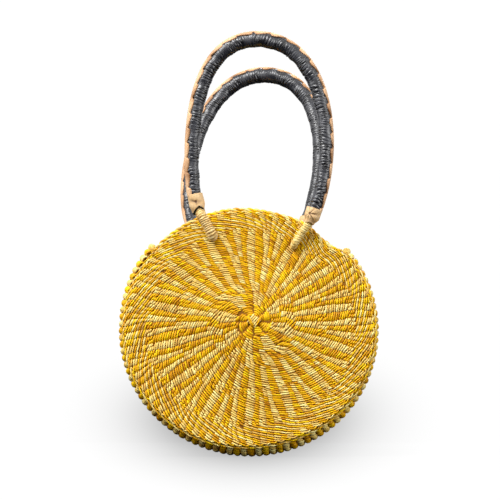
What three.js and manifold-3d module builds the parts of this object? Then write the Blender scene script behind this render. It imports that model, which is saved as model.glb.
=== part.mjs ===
// Round straw purse: two twined discs joined by a side band, with two leather-covered arched handles
// that hang on straw-wound loops threaded through the discs.
// Millimetres, +Z up. X runs to the right and Y away from the viewer, so the front disc lies at -Y.
// The origin is the middle of the flat under the side band.
import * as THREE from "three";
import { mergeVertices } from "three/addons/utils/BufferGeometryUtils.js";
import Module from "manifold-3d";

const degrees = THREE.MathUtils.degToRad;

// Clearance between pieces that touch
const SEAT_GAP = 0.3;

// Woven discs
const PANEL_RADIUS = 134;
const PANEL_THICKNESS = 6;
const PANEL_SPACING = 90; // between the middle planes of the two discs
const PANEL_CROWN = 7.5; // how far the middle swells out of the flat margin
const PANEL_MARGIN = 42; // flat width between the swelling and the edge
const PANEL_EDGE_BEVEL = 2.5;
const PANEL_SIDES = 48;
const CROWN_STEPS = 4;
const SIDE_STRETCH = 1.045; // the bag sags a little, so it is wider than high by this share
const WEAVE_SHIFT_X = 5.8; // the weave's middle lies this far right of and above the disc's middle
const WEAVE_SHIFT_Z = 8.4;

// Side band
const BAND_WALL = 6.5;
const BAND_EDGE_STEP = 3; // how far the band's edge stands outside the disc's edge
const BAND_SWELL = 6.4; // how far its middle swells past its edges
const BAND_STEPS = 54;
const BAND_FLAT_DEPTH = 1; // what the flat underneath takes off the swelling
const MOUTH_ANGLE = degrees(103); // the arc at the top that the band leaves open

// Trim along the edges
const LASHING_RADIUS = 1.3;
const BORDER_RADIUS = 1.8;
const BINDING_RADIUS = 3;
const TRIM_END_GAP = degrees(0.5);
const TRIM_SIDES = 6;
const LASHING_STEPS = 48;
const BORDER_STEPS = 22;
const BINDING_SIDES = 8;
const BINDING_STEPS = 8;
const KNOT_RADIUS = 7;
const KNOT_HEIGHT = 2.6;
const KNOT_SIDES = 14;

// Straw loops. A high loop's cap stands over the disc's edge, and a low loop's cap in front of it.
// A hole's inset is its distance from the disc's edge.
const LOOP_CORE_RADIUS = 2.8;
const FRONT_LEFT_ANGLE = degrees(112.8); // of each loop about the disc's middle, as seen from the front
const FRONT_RIGHT_ANGLE = degrees(60.2);
const BACK_LEFT_ANGLE = degrees(119.3);
const BACK_RIGHT_ANGLE = degrees(64.1);
const HIGH_HOLE_INSET = 23.5;
const LOW_HOLE_INSET = 29;
const LOW_PIVOT_RADIUS = 141;
const LOW_PIVOT_STANDOFF = 14.2; // from the disc's middle plane out to the low cap's swing point
const LOOP_STEPS = 26;
const LOOP_SIDES = 6;
const HOLE_SIDES = 12;
const WRAP_THICKNESS = 1.8;
const WRAP_PITCH = 2.4;
const WRAP_STEPS_PER_TURN = 8;
const WRAP_SIDES = 5;

// Handles
const CAP_RADIUS = 8.9;
const CAP_NOSE_RADIUS = 4.8; // of the round tip about the swing axis
const CAP_SHOULDER = 9; // from the swing axis up to where the cap has its full width
const CAP_TOP = 14;
const CAP_FLOOR = 5.5; // from the swing axis up to the bottom of the cap's socket
const CAP_SIDES = 16;
const SLEEVE_RADIUS = 7.4;
const CORE_RADIUS = 5;
const TUBE_SIDES = 10;
const CORE_SIDES = 6;
const HANDLE_STEPS = 32;
const FRONT_LEFT_SPLAY = degrees(12); // how far a cap leans out from upright
const FRONT_RIGHT_SPLAY = degrees(20);
const BACK_LEFT_SPLAY = degrees(20);
const BACK_RIGHT_SPLAY = degrees(18);
const END_STRAIGHT = 15; // the tube runs straight this far from the swing axis before it bends
// A handle's centre line: how far its top stands above the swing axis and right of the bag's middle,
// and how long the tube keeps its direction at each end of a curve
const FRONT_ARCH = {
  rise: 195.6,
  crownShift: 9.7,
  leftFootPull: 15,
  leftCrownPull: 85.5,
  rightFootPull: 76,
  rightCrownPull: 77.7,
};
const BACK_ARCH = {
  rise: 203.3,
  crownShift: 12,
  leftFootPull: 48,
  leftCrownPull: 81,
  rightFootPull: 98,
  rightCrownPull: 66,
};
const STRIP_THICKNESS = 1.6;
const STRIP_HALF_ANGLE = degrees(42); // half the width of the laced strip, round the tube
const STRIP_SCALLOP = degrees(9);
const STRIP_PITCH = 15.8; // from one scallop to the next
const FRONT_LEAN = degrees(3); // outward from upright, as the handles stand
const BACK_LEAN = degrees(13);

// Sizes that follow from the ones above
const PANEL_PLANE = PANEL_SPACING / 2;
const BAND_HALF_WIDTH = PANEL_PLANE - PANEL_THICKNESS / 2 - SEAT_GAP;
const BAND_EDGE_RADIUS = PANEL_RADIUS + BAND_EDGE_STEP;
const CENTRE_HEIGHT = BAND_EDGE_RADIUS + BAND_SWELL - BAND_FLAT_DEPTH;
const BAND_START = Math.PI / 2 + MOUTH_ANGLE / 2;
const BAND_SWEEP = 2 * Math.PI - MOUTH_ANGLE;
const WRAP_OUTER_RADIUS = LOOP_CORE_RADIUS + SEAT_GAP + WRAP_THICKNESS;
const LOOP_HALF_WIDTH = PANEL_THICKNESS / 2 + SEAT_GAP + WRAP_OUTER_RADIUS;
const BORDER_TOP = PANEL_RADIUS + SEAT_GAP + 2 * BORDER_RADIUS;
const LOOP_TOP = ovalRadius(BORDER_TOP, FRONT_RIGHT_ANGLE) + SEAT_GAP + LOOP_CORE_RADIUS;
const HIGH_PIVOT_RADIUS = LOOP_TOP + LOOP_CORE_RADIUS + SEAT_GAP + CAP_NOSE_RADIUS;
const LOW_PIVOT_DEPTH = PANEL_PLANE + LOW_PIVOT_STANDOFF;
const TUBE_START = CAP_FLOOR + SEAT_GAP;

// A handle's ends, named by the hand they lie on as the viewer sees them.
const HIGH_END = {
  bottom: PANEL_RADIUS - HIGH_HOLE_INSET,
  pivotRadius: HIGH_PIVOT_RADIUS,
  pivotDepth: PANEL_PLANE,
};
const LOW_END = {
  bottom: PANEL_RADIUS - LOW_HOLE_INSET,
  pivotRadius: LOW_PIVOT_RADIUS,
  pivotDepth: LOW_PIVOT_DEPTH,
};
const SIDES = [
  {
    name: "front",
    outward: -1,
    lean: FRONT_LEAN,
    arch: FRONT_ARCH,
    ends: {
      left: { ...HIGH_END, angle: FRONT_LEFT_ANGLE, splay: FRONT_LEFT_SPLAY },
      right: { ...LOW_END, angle: FRONT_RIGHT_ANGLE, splay: FRONT_RIGHT_SPLAY },
    },
  },
  {
    name: "back",
    outward: 1,
    lean: BACK_LEAN,
    arch: BACK_ARCH,
    ends: {
      left: { ...LOW_END, angle: BACK_LEFT_ANGLE, splay: BACK_LEFT_SPLAY },
      right: { ...LOW_END, angle: BACK_RIGHT_ANGLE, splay: BACK_RIGHT_SPLAY },
    },
  },
];

const MATERIALS = {
  straw: new THREE.MeshStandardMaterial({ color: 0xe2b93c, roughness: 0.7, metalness: 0 }),
  naturalStraw: new THREE.MeshStandardMaterial({ color: 0xdcbd78, roughness: 0.75, metalness: 0 }),
  blackLeather: new THREE.MeshStandardMaterial({ color: 0x1c1c20, roughness: 0.45, metalness: 0 }),
  tanLeather: new THREE.MeshStandardMaterial({ color: 0xe0b273, roughness: 0.6, metalness: 0 }),
};

const wasm = await Module();
wasm.setup();

// Points and sections

function polar(radius, angle, y = 0) {
  return new THREE.Vector3(radius * Math.cos(angle), y, radius * Math.sin(angle));
}

// Where a round outline of this radius lies in a given direction once the bag is stretched sideways
function ovalRadius(radius, angle) {
  return radius / Math.hypot(Math.cos(angle) / SIDE_STRETCH, Math.sin(angle));
}

function oval(geometry) {
  return geometry.scale(SIDE_STRETCH, 1, 1);
}

function roundSection(radius) {
  return new THREE.Shape().absarc(0, 0, radius, 0, 2 * Math.PI);
}

// A polygon drawn with this radius at its corners clears a round piece of the given radius inside it.
function clearingRadius(radius, sides) {
  return radius / Math.cos(Math.PI / sides);
}

function mesh(name, geometry, material) {
  const piece = new THREE.Mesh(geometry, material);
  piece.name = name;
  return piece;
}

// Boolean cuts

function solidOf(geometry) {
  const bare = geometry.clone();
  bare.deleteAttribute("normal");
  bare.deleteAttribute("uv");
  const merged = mergeVertices(bare, 1e-3);
  const vertProperties = new Float32Array(merged.attributes.position.array);
  const triVerts = new Uint32Array(merged.index.array);
  return new wasm.Manifold(new wasm.Mesh({ numProp: 3, vertProperties, triVerts }));
}

function cut(geometry, tools) {
  let solid = solidOf(geometry);
  for (const tool of tools) {
    solid = solid.subtract(solidOf(tool));
  }
  const result = solid.getMesh();
  const cutGeometry = new THREE.BufferGeometry();
  cutGeometry.setAttribute("position", new THREE.BufferAttribute(result.vertProperties, 3));
  cutGeometry.setIndex(new THREE.BufferAttribute(result.triVerts, 1));
  cutGeometry.computeVertexNormals();
  return cutGeometry;
}

// Skin over a row of matching closed outlines, with both ends filled.
// The lid is the first outline drawn flat, anticlockwise as seen against the direction of the row.
function skin(rings, lid) {
  const size = lid.length;
  const faces = [];
  for (let ring = 0; ring + 1 < rings.length; ring++) {
    for (let corner = 0; corner < size; corner++) {
      const a = ring * size + corner;
      const b = ring * size + ((corner + 1) % size);
      faces.push(a, b, b + size, a, b + size, a + size);
    }
  }
  const last = (rings.length - 1) * size;
  for (const [a, b, c] of THREE.ShapeUtils.triangulateShape(lid, [])) {
    faces.push(a, c, b, last + a, last + b, last + c);
  }
  const geometry = new THREE.BufferGeometry().setFromPoints(rings.flat());
  geometry.setIndex(faces);
  geometry.computeVertexNormals();
  return geometry;
}

function tube(path, radius, sides, steps) {
  return new THREE.ExtrudeGeometry(roundSection(radius), {
    steps,
    curveSegments: sides / 2,
    extrudePath: path,
  });
}

class RimArc extends THREE.Curve {
  constructor(radius, start, sweep) {
    super();
    Object.assign(this, { radius, start, sweep });
  }

  getPoint(t, target = new THREE.Vector3()) {
    return target.copy(polar(this.radius, this.start + this.sweep * t));
  }
}

// Woven discs

// Moves the weave's middle aside and leaves the edge where it is, with all between in proportion
function offCentre(geometry, shiftX) {
  const place = geometry.attributes.position;
  for (let index = 0; index < place.count; index++) {
    const slack = 1 - Math.hypot(place.getX(index), place.getZ(index)) / PANEL_RADIUS;
    place.setX(index, place.getX(index) + shiftX * slack);
    place.setZ(index, place.getZ(index) + WEAVE_SHIFT_Z * slack);
  }
  return geometry;
}

function panelGeometry(holes, shiftX) {
  const half = PANEL_THICKNESS / 2;
  const swellEdge = PANEL_RADIUS - PANEL_MARGIN;
  const inner = [];
  const outer = [];
  for (let step = 0; step <= CROWN_STEPS; step++) {
    const share = step / CROWN_STEPS;
    const swell = (PANEL_CROWN * (1 + Math.cos(Math.PI * share))) / 2;
    inner.push(new THREE.Vector2(swellEdge * share, swell - half));
    outer.unshift(new THREE.Vector2(swellEdge * share, swell + half));
  }
  const edge = [
    new THREE.Vector2(PANEL_RADIUS, -half),
    new THREE.Vector2(PANEL_RADIUS, half - PANEL_EDGE_BEVEL),
    new THREE.Vector2(PANEL_RADIUS - PANEL_EDGE_BEVEL, half),
  ];
  const disc = new THREE.LatheGeometry([...inner, ...edge, ...outer], PANEL_SIDES);
  return cut(oval(offCentre(disc, shiftX)), holes);
}

// The loop's bend crosses the disc at a slant, so its hole is a little wider than its cord.
function loopHole(bottom, angle) {
  const half = PANEL_THICKNESS / 2;
  const rise = LOOP_HALF_WIDTH - Math.sqrt(LOOP_HALF_WIDTH ** 2 - half ** 2);
  const slanted = LOOP_CORE_RADIUS / Math.cos(Math.asin(half / LOOP_HALF_WIDTH));
  const radius = clearingRadius(slanted + rise / 2 + SEAT_GAP, HOLE_SIDES);
  const hole = new THREE.CylinderGeometry(radius, radius, 2 * PANEL_THICKNESS, HOLE_SIDES);
  const centre = polar(bottom + rise / 2, angle);
  return hole.translate(centre.x, 0, centre.z);
}

// A low boss where the first stakes cross
function knotGeometry() {
  const dome = new THREE.EllipseCurve(0, 0, KNOT_RADIUS, KNOT_HEIGHT, 0, Math.PI / 2);
  const profile = [new THREE.Vector2(0, 0), ...dome.getPoints(3)];
  return new THREE.LatheGeometry(profile, KNOT_SIDES);
}

// Everything on one disc, drawn with +Y outward
function addPanel(parent, side) {
  const turned = side.outward < 0;
  const place = new THREE.Group();
  place.rotation.z = turned ? Math.PI : 0;
  parent.add(place);

  const drawnAngle = (end) => (turned ? Math.PI - end.angle : end.angle);
  const holes = Object.values(side.ends).map((end) => loopHole(end.bottom, drawnAngle(end)));
  const shiftX = turned ? -WEAVE_SHIFT_X : WEAVE_SHIFT_X;
  const panel = mesh(`${side.name}_panel`, panelGeometry(holes, shiftX), MATERIALS.straw);
  panel.position.y = PANEL_PLANE;

  const knot = mesh(`${side.name}_start_knot`, knotGeometry(), MATERIALS.naturalStraw);
  const crownFace = PANEL_PLANE + PANEL_CROWN + PANEL_THICKNESS / 2;
  knot.position.set(shiftX * SIDE_STRETCH, crownFace + SEAT_GAP, WEAVE_SHIFT_Z);

  const lashingArc = new RimArc(PANEL_RADIUS + SEAT_GAP + LASHING_RADIUS, BAND_START, BAND_SWEEP);
  const lashingGeometry = tube(lashingArc, LASHING_RADIUS, TRIM_SIDES, LASHING_STEPS);
  const lashing = mesh(`${side.name}_seam_lashing`, oval(lashingGeometry), MATERIALS.naturalStraw);
  lashing.position.y = BAND_HALF_WIDTH + SEAT_GAP + LASHING_RADIUS;

  const mouthStart = Math.PI / 2 - MOUTH_ANGLE / 2 + TRIM_END_GAP;
  const mouthSweep = MOUTH_ANGLE - 2 * TRIM_END_GAP;
  const borderArc = new RimArc(PANEL_RADIUS + SEAT_GAP + BORDER_RADIUS, mouthStart, mouthSweep);
  const borderGeometry = tube(borderArc, BORDER_RADIUS, TRIM_SIDES, BORDER_STEPS);
  const border = mesh(`${side.name}_mouth_border`, oval(borderGeometry), MATERIALS.straw);
  border.position.y = PANEL_PLANE;

  place.add(panel, knot, lashing, border);
}

// Side band

function bandRadius(share) {
  return BAND_EDGE_RADIUS + BAND_SWELL * (1 - share ** 4);
}

function bandGeometry() {
  const outerShares = [-1, -0.88, -0.65, 0, 0.65, 0.88, 1];
  const innerShares = [1, 0.75, -0.75, -1];
  const outline = [
    ...outerShares.map((share) => new THREE.Vector2(bandRadius(share), share * BAND_HALF_WIDTH)),
    ...innerShares.map((share) => new THREE.Vector2(bandRadius(share) - BAND_WALL, share * BAND_HALF_WIDTH)),
  ];
  const rings = [];
  for (let step = 0; step <= BAND_STEPS; step++) {
    const angle = BAND_START + (BAND_SWEEP * step) / BAND_STEPS;
    rings.push(outline.map((point) => polar(point.x, angle, point.y)));
  }
  const below = new THREE.BoxGeometry(CENTRE_HEIGHT, PANEL_SPACING, CENTRE_HEIGHT);
  below.translate(0, 0, -1.5 * CENTRE_HEIGHT);
  return oval(cut(skin(rings, outline), [below]));
}

// The rolled binding over each end of the band follows its swelling from disc to disc.
function bindingGeometry(angle, away) {
  const lift = away * (SEAT_GAP + BINDING_RADIUS);
  const tangent = polar(1, angle + Math.PI / 2);
  const reach = 1 - BINDING_RADIUS / BAND_HALF_WIDTH;
  const points = [-1, -0.6, 0, 0.6, 1].map((part) => {
    const share = part * reach;
    const point = polar(bandRadius(share) - BAND_WALL / 2, angle, share * BAND_HALF_WIDTH);
    return point.addScaledVector(tangent, lift);
  });
  return oval(tube(new THREE.CatmullRomCurve3(points), BINDING_RADIUS, BINDING_SIDES, BINDING_STEPS));
}

function addBand(parent) {
  const bandEnd = BAND_START + BAND_SWEEP;
  parent.add(
    mesh("gusset", bandGeometry(), MATERIALS.straw),
    mesh("gusset_left_end_binding", bindingGeometry(BAND_START, -1), MATERIALS.naturalStraw),
    mesh("gusset_right_end_binding", bindingGeometry(bandEnd, 1), MATERIALS.naturalStraw),
  );
}

// Straw loops, drawn with +Z along the disc's radius and +Y outward

class LoopCurve extends THREE.Curve {
  constructor(bottom) {
    super();
    this.leg = LOOP_TOP - bottom - 2 * LOOP_HALF_WIDTH;
    this.bend = Math.PI * LOOP_HALF_WIDTH;
    this.lowCentre = bottom + LOOP_HALF_WIDTH;
    this.highCentre = LOOP_TOP - LOOP_HALF_WIDTH;
  }

  // Up the outer leg, over the disc's edge, down the inner leg and back through the hole
  getPoint(t, target = new THREE.Vector3()) {
    let along = (t % 1) * 2 * (this.leg + this.bend);
    if (along < this.leg) {
      return target.set(0, LOOP_HALF_WIDTH, this.lowCentre + along);
    }
    along -= this.leg;
    if (along < this.bend) {
      return this.bendPoint(target, this.highCentre, along / LOOP_HALF_WIDTH);
    }
    along -= this.bend;
    if (along < this.leg) {
      return target.set(0, -LOOP_HALF_WIDTH, this.highCentre - along);
    }
    along -= this.leg;
    return this.bendPoint(target, this.lowCentre, Math.PI + along / LOOP_HALF_WIDTH);
  }

  bendPoint(target, centre, turn) {
    return target.set(0, LOOP_HALF_WIDTH * Math.cos(turn), centre + LOOP_HALF_WIDTH * Math.sin(turn));
  }
}

// A winding round the loop's outer leg, whose two ends run straight for one thickness
function wrapPoints(leg, lowest) {
  const radius = clearingRadius(LOOP_CORE_RADIUS + SEAT_GAP, WRAP_STEPS_PER_TURN) + WRAP_THICKNESS / 2;
  const steps = Math.floor(leg / WRAP_PITCH) * WRAP_STEPS_PER_TURN;
  const points = [];
  for (let step = 0; step <= steps; step++) {
    const turn = (2 * Math.PI * step) / WRAP_STEPS_PER_TURN;
    const height = lowest + (leg * step) / steps;
    points.push(new THREE.Vector3(radius * Math.sin(turn), LOOP_HALF_WIDTH + radius * Math.cos(turn), height));
  }
  const tail = new THREE.Vector3(WRAP_THICKNESS, 0, 0);
  points.unshift(points[0].clone().sub(tail));
  points.push(points.at(-1).clone().add(tail));
  return points;
}

function leastGap(points) {
  let least = Infinity;
  for (let i = 0; i < points.length; i++) {
    for (let j = i + WRAP_STEPS_PER_TURN / 2; j < points.length; j++) {
      least = Math.min(least, points[i].distanceTo(points[j]) - WRAP_THICKNESS);
    }
  }
  return least;
}

function wrapGeometry(points) {
  const upright = new THREE.Vector3(0, 0, 1);
  const lid = [];
  for (let corner = 0; corner < WRAP_SIDES; corner++) {
    const turn = (2 * Math.PI * corner) / WRAP_SIDES;
    const radius = WRAP_THICKNESS / 2;
    lid.push(new THREE.Vector2(radius * Math.cos(turn), radius * Math.sin(turn)));
  }
  const rings = points.map((point, index) => {
    const before = points[Math.max(index - 1, 0)];
    const after = points[Math.min(index + 1, points.length - 1)];
    const along = after.clone().sub(before).normalize();
    const across = upright.clone().cross(along).normalize();
    const over = along.clone().cross(across);
    return lid.map((corner) => point.clone().addScaledVector(across, corner.x).addScaledVector(over, corner.y));
  });
  return skin(rings, lid);
}

function addLoops(parent, side) {
  for (const [hand, end] of Object.entries(side.ends)) {
    const curve = new LoopCurve(end.bottom);
    const points = wrapPoints(curve.leg, curve.lowCentre);
    console.log(`${side.name} ${hand} loop wrap: least gap between turns ${leastGap(points).toFixed(2)} mm`);
    const place = new THREE.Group();
    const turned = side.outward < 0;
    place.position.y = side.outward * PANEL_PLANE;
    // Half a turn about the radius brings a front loop's outer leg to the front.
    place.rotation.set(0, Math.PI / 2 - end.angle, turned ? Math.PI : 0);
    const name = `${side.name}_${hand}_loop`;
    const ring = new THREE.TubeGeometry(curve, LOOP_STEPS, LOOP_CORE_RADIUS, LOOP_SIDES, true);
    place.add(
      mesh(name, ring, MATERIALS.naturalStraw),
      mesh(`${name}_wrap`, wrapGeometry(points), MATERIALS.naturalStraw),
    );
    parent.add(place);
  }
}

// Handles, drawn upright about the middle of their swing axis and then leaned outward

function handlePath(left, right, crown, arch) {
  const step = (foot, length) => foot.point.clone().addScaledVector(foot.direction, length);
  const beside = (shift) => crown.clone().add(new THREE.Vector3(shift, 0, 0));
  const path = new THREE.CurvePath();
  path.add(new THREE.LineCurve3(step(left, TUBE_START), step(left, END_STRAIGHT)));
  path.add(
    new THREE.CubicBezierCurve3(
      step(left, END_STRAIGHT),
      step(left, END_STRAIGHT + arch.leftFootPull),
      beside(-arch.leftCrownPull),
      crown,
    ),
  );
  path.add(
    new THREE.CubicBezierCurve3(
      crown,
      beside(arch.rightCrownPull),
      step(right, END_STRAIGHT + arch.rightFootPull),
      step(right, END_STRAIGHT),
    ),
  );
  path.add(new THREE.LineCurve3(step(right, END_STRAIGHT), step(right, TUBE_START)));
  return path;
}

function sleeveGeometry(path) {
  const section = roundSection(SLEEVE_RADIUS);
  const bore = clearingRadius(CORE_RADIUS + SEAT_GAP, TUBE_SIDES);
  section.holes.push(new THREE.Path().absarc(0, 0, bore, 0, 2 * Math.PI));
  return new THREE.ExtrudeGeometry(section, {
    steps: HANDLE_STEPS,
    curveSegments: TUBE_SIDES / 2,
    extrudePath: path,
  });
}

function sectionPoint(radius, turn) {
  return new THREE.Vector2(radius * Math.sin(turn), radius * Math.cos(turn));
}

// The laced strip lies on the outside of the arch, with scallops that alternate between its two edges.
function stripGeometry(path) {
  const length = path.getLength();
  const start = CAP_TOP + SEAT_GAP - TUBE_START;
  const scallops = Math.round((length - 2 * start) / STRIP_PITCH);
  const steps = 2 * scallops;
  const inner = (SLEEVE_RADIUS + SEAT_GAP) / Math.cos((STRIP_HALF_ANGLE + STRIP_SCALLOP) / 3);
  const outer = inner + STRIP_THICKNESS;
  let lid;
  const rings = [];
  for (let step = 0; step <= steps; step++) {
    const share = (start + ((length - 2 * start) * step) / steps) / length;
    const centre = path.getPointAt(share);
    const along = path.getTangentAt(share);
    const away = new THREE.Vector3(-along.z, 0, along.x);
    const scallop = step % 2 ? STRIP_SCALLOP : -STRIP_SCALLOP;
    const wide = STRIP_HALF_ANGLE + scallop;
    const narrow = STRIP_HALF_ANGLE - scallop;
    const turns = [wide, wide / 3, -narrow / 3, -narrow];
    const outline = [
      ...turns.map((turn) => sectionPoint(outer, turn)),
      ...turns.reverse().map((turn) => sectionPoint(inner, turn)),
    ];
    lid ??= outline;
    const across = new THREE.Vector3(0, 1, 0);
    rings.push(
      outline.map(({ x, y }) => centre.clone().addScaledVector(across, x).addScaledVector(away, y)),
    );
  }
  return skin(rings, lid);
}

// A leather cap with a round tip about the swing axis, which widens to a socket for the tube's end
function capGeometry() {
  const socket = clearingRadius(SLEEVE_RADIUS + SEAT_GAP, CAP_SIDES);
  const tip = new THREE.EllipseCurve(0, 0, CAP_NOSE_RADIUS, CAP_NOSE_RADIUS, -Math.PI / 2, 0);
  const profile = [
    ...tip.getPoints(4),
    new THREE.Vector2(CAP_RADIUS, CAP_SHOULDER),
    new THREE.Vector2(CAP_RADIUS, CAP_TOP),
    new THREE.Vector2(socket, CAP_TOP),
    new THREE.Vector2(socket, CAP_FLOOR),
    new THREE.Vector2(0, CAP_FLOOR),
  ];
  return new THREE.LatheGeometry(profile, CAP_SIDES);
}

function addHandle(parent, side) {
  const pivot = (end) => polar(end.pivotRadius, end.angle, side.outward * end.pivotDepth);
  const { left, right } = side.ends;
  const middle = pivot(left).add(pivot(right)).multiplyScalar(0.5);
  const axis = pivot(right).sub(pivot(left)).normalize();
  const place = new THREE.Group();
  place.position.copy(middle);
  place.quaternion.setFromAxisAngle(axis, -side.outward * side.lean);
  parent.add(place);

  const foot = (end, direction) => ({ point: pivot(end).sub(middle), direction });
  const feet = {
    left: foot(left, polar(1, Math.PI / 2 + left.splay)),
    right: foot(right, polar(1, Math.PI / 2 - right.splay)),
  };
  const crown = new THREE.Vector3(side.arch.crownShift - middle.x, 0, side.arch.rise);
  const path = handlePath(feet.left, feet.right, crown, side.arch);
  const coreGeometry = tube(path, CORE_RADIUS, CORE_SIDES, HANDLE_STEPS);
  place.add(
    mesh(`${side.name}_handle_core`, coreGeometry, MATERIALS.naturalStraw),
    mesh(`${side.name}_handle_sleeve`, sleeveGeometry(path), MATERIALS.blackLeather),
    mesh(`${side.name}_handle_lacing`, stripGeometry(path), MATERIALS.tanLeather),
  );
  for (const [hand, { point, direction }] of Object.entries(feet)) {
    const cap = mesh(`${side.name}_${hand}_cap`, capGeometry(), MATERIALS.tanLeather);
    cap.position.copy(point);
    cap.quaternion.setFromUnitVectors(new THREE.Vector3(0, 1, 0), direction);
    place.add(cap);
  }
}

const purse = new THREE.Group();
const bag = new THREE.Group();
bag.position.z = CENTRE_HEIGHT;
purse.add(bag);
addBand(bag);
for (const side of SIDES) {
  addPanel(bag, side);
  addLoops(bag, side);
  addHandle(bag, side);
}

export default purse;
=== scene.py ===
import logging
from dataclasses import dataclass, replace
from enum import Enum
from functools import cache
from math import cos, pi, radians, sin, sqrt
from typing import Any, Sequence

import bpy
import numpy as np
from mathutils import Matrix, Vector


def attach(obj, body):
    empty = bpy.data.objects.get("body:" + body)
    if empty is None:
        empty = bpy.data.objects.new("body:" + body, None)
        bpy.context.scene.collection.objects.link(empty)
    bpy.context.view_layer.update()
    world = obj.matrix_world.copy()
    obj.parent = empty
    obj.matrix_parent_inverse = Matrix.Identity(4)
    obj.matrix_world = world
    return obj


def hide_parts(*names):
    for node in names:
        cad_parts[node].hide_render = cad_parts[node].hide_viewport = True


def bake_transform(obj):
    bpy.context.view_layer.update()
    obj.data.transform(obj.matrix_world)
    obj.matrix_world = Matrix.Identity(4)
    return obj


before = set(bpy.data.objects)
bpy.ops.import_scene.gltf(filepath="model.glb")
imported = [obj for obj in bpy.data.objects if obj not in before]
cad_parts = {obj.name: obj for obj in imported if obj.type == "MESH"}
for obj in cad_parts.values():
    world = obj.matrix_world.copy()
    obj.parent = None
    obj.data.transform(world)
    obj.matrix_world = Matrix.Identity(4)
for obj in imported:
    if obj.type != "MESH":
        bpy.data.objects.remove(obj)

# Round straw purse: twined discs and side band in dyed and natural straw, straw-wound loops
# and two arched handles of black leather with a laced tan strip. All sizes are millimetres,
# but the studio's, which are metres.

Array = np.ndarray
Random = np.random.Generator
Point = tuple[float, float, float]
Tree = bpy.types.NodeTree
Socket = bpy.types.NodeSocket
Material = bpy.types.Material
LOG = logging.getLogger("straw_purse")
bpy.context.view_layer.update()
MM = 0.001
FULL_TURN = 2.0 * pi
CENTRE_HEIGHT = 142.4  # from the floor up to the middle of the discs
DISC_PLANE = 45.0  # from the bag's middle out to the middle of each disc's thickness
MOUTH_START = radians(39.0)  # where the discs' free edge begins
MOUTH_SWEEP = radians(102.0)
SLUMP_ANGLE = radians(48.0)  # where the front disc's free edge has given way most
SLUMP_WIDTH_UP = radians(13.6)
SLUMP_WIDTH_DOWN = radians(6.5)
SLUMP_DEPTH = 0.068
SAG_ANGLE = radians(76.0)  # where it sags a little, under its own weight
SAG_WIDTH = radians(14.0)
SAG_DEPTH = 0.026
LIFT_ANGLE = radians(-80.0)  # where its edge ends higher, so that more of the band shows
LIFT_WIDTH = radians(38.0)
LIFT_DEPTH = 0.028
SIDE_STRETCH = 1.045  # the bag sags a little, so it is wider than high by this share


class Choice(Enum):
    """A choice whose name is part of the names of pieces."""

    @property
    def label(self) -> str:
        """The word in the names of pieces."""
        return self.name.lower()


class Side(Choice):
    """A side of the bag; its value is the way out along Y."""

    FRONT = -1.0
    BACK = 1.0


class Hand(Choice):
    """An end of a handle or the band, seen from the front; its value is the way out along X or the arc."""

    LEFT = -1.0
    RIGHT = 1.0


class Dye(Choice):
    """The colour of a straw strand."""

    YELLOW = 0
    NATURAL = 1


class Slot(Enum):
    """Material slots of the record."""

    DYED_STRAW = "dyed_straw"
    NATURAL_STRAW = "natural_straw"
    BLACK_LEATHER = "black_leather"
    TAN_LEATHER = "tan_leather"


# Shapes

def stacked(*parts: Array | float) -> Array:
    """Arrays that are broadcast against each other and stacked on a new last axis."""
    return np.stack(np.broadcast_arrays(*parts), axis=-1)


def unit(vectors: Array) -> Array:
    """Vectors of the same directions and of length 1."""
    return vectors / np.linalg.norm(vectors, axis=-1, keepdims=True)


def ring_angles(sides: int) -> Array:
    """Angles of a ring's corners, evenly spaced."""
    return np.arange(sides) * FULL_TURN / sides


def off_from(angle: Array, middle: float) -> Array:
    """How far angles are from another one, by the shorter way round."""
    return (angle - middle + pi) % FULL_TURN - pi


def bell(way: Array, width: Array | float) -> Array:
    """A bell of height 1: e to the power of minus the square of the way over the width."""
    return np.exp(-((way / width) ** 2))


def smooth(share: Array) -> Array:
    """A smooth rise from 0 to 1, flat outside that span."""
    held = np.clip(share, 0.0, 1.0)
    return held * held * (3.0 - 2.0 * held)


def arc_length(path: Array) -> Array:
    """How far each point of a path is from its start, along it."""
    steps = np.linalg.norm(np.diff(path, axis=0), axis=1)
    return np.concatenate([[0.0], np.cumsum(steps)])


def curve(a: Array, b: Array, c: Array, d: Array, steps: int) -> Array:
    """A cubic curve from a to d, which leaves a towards b and reaches d from c."""
    share = np.linspace(0.0, 1.0, steps)[:, None]
    rest = 1.0 - share
    return rest**3 * a + 3.0 * rest**2 * share * b + 3.0 * rest * share**2 * c + share**3 * d


def spoke(angle: Array | float) -> Array:
    """Unit vectors that point out from the discs' middle at an angle."""
    return stacked(np.cos(angle), 0.0, np.sin(angle))


def polar(radius: Array, angle: Array, depth: Array) -> Array:
    """Points at a distance and angle about the discs' middle, at a depth along Y."""
    return stacked(radius * np.cos(angle), depth, CENTRE_HEIGHT + radius * np.sin(angle))


def oval(radius: Array, angle: Array, depth: Array) -> Array:
    """Points as polar gives them, stretched sideways to the sagging bag's outline."""
    return polar(radius, angle, depth) * (SIDE_STRETCH, 1.0, 1.0)


def lifted(angle: Array) -> Array:
    """One bell of the angle round the lowest part of the bag's edge, from 0 to 1."""
    return bell(off_from(angle, LIFT_ANGLE), LIFT_WIDTH)


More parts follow.
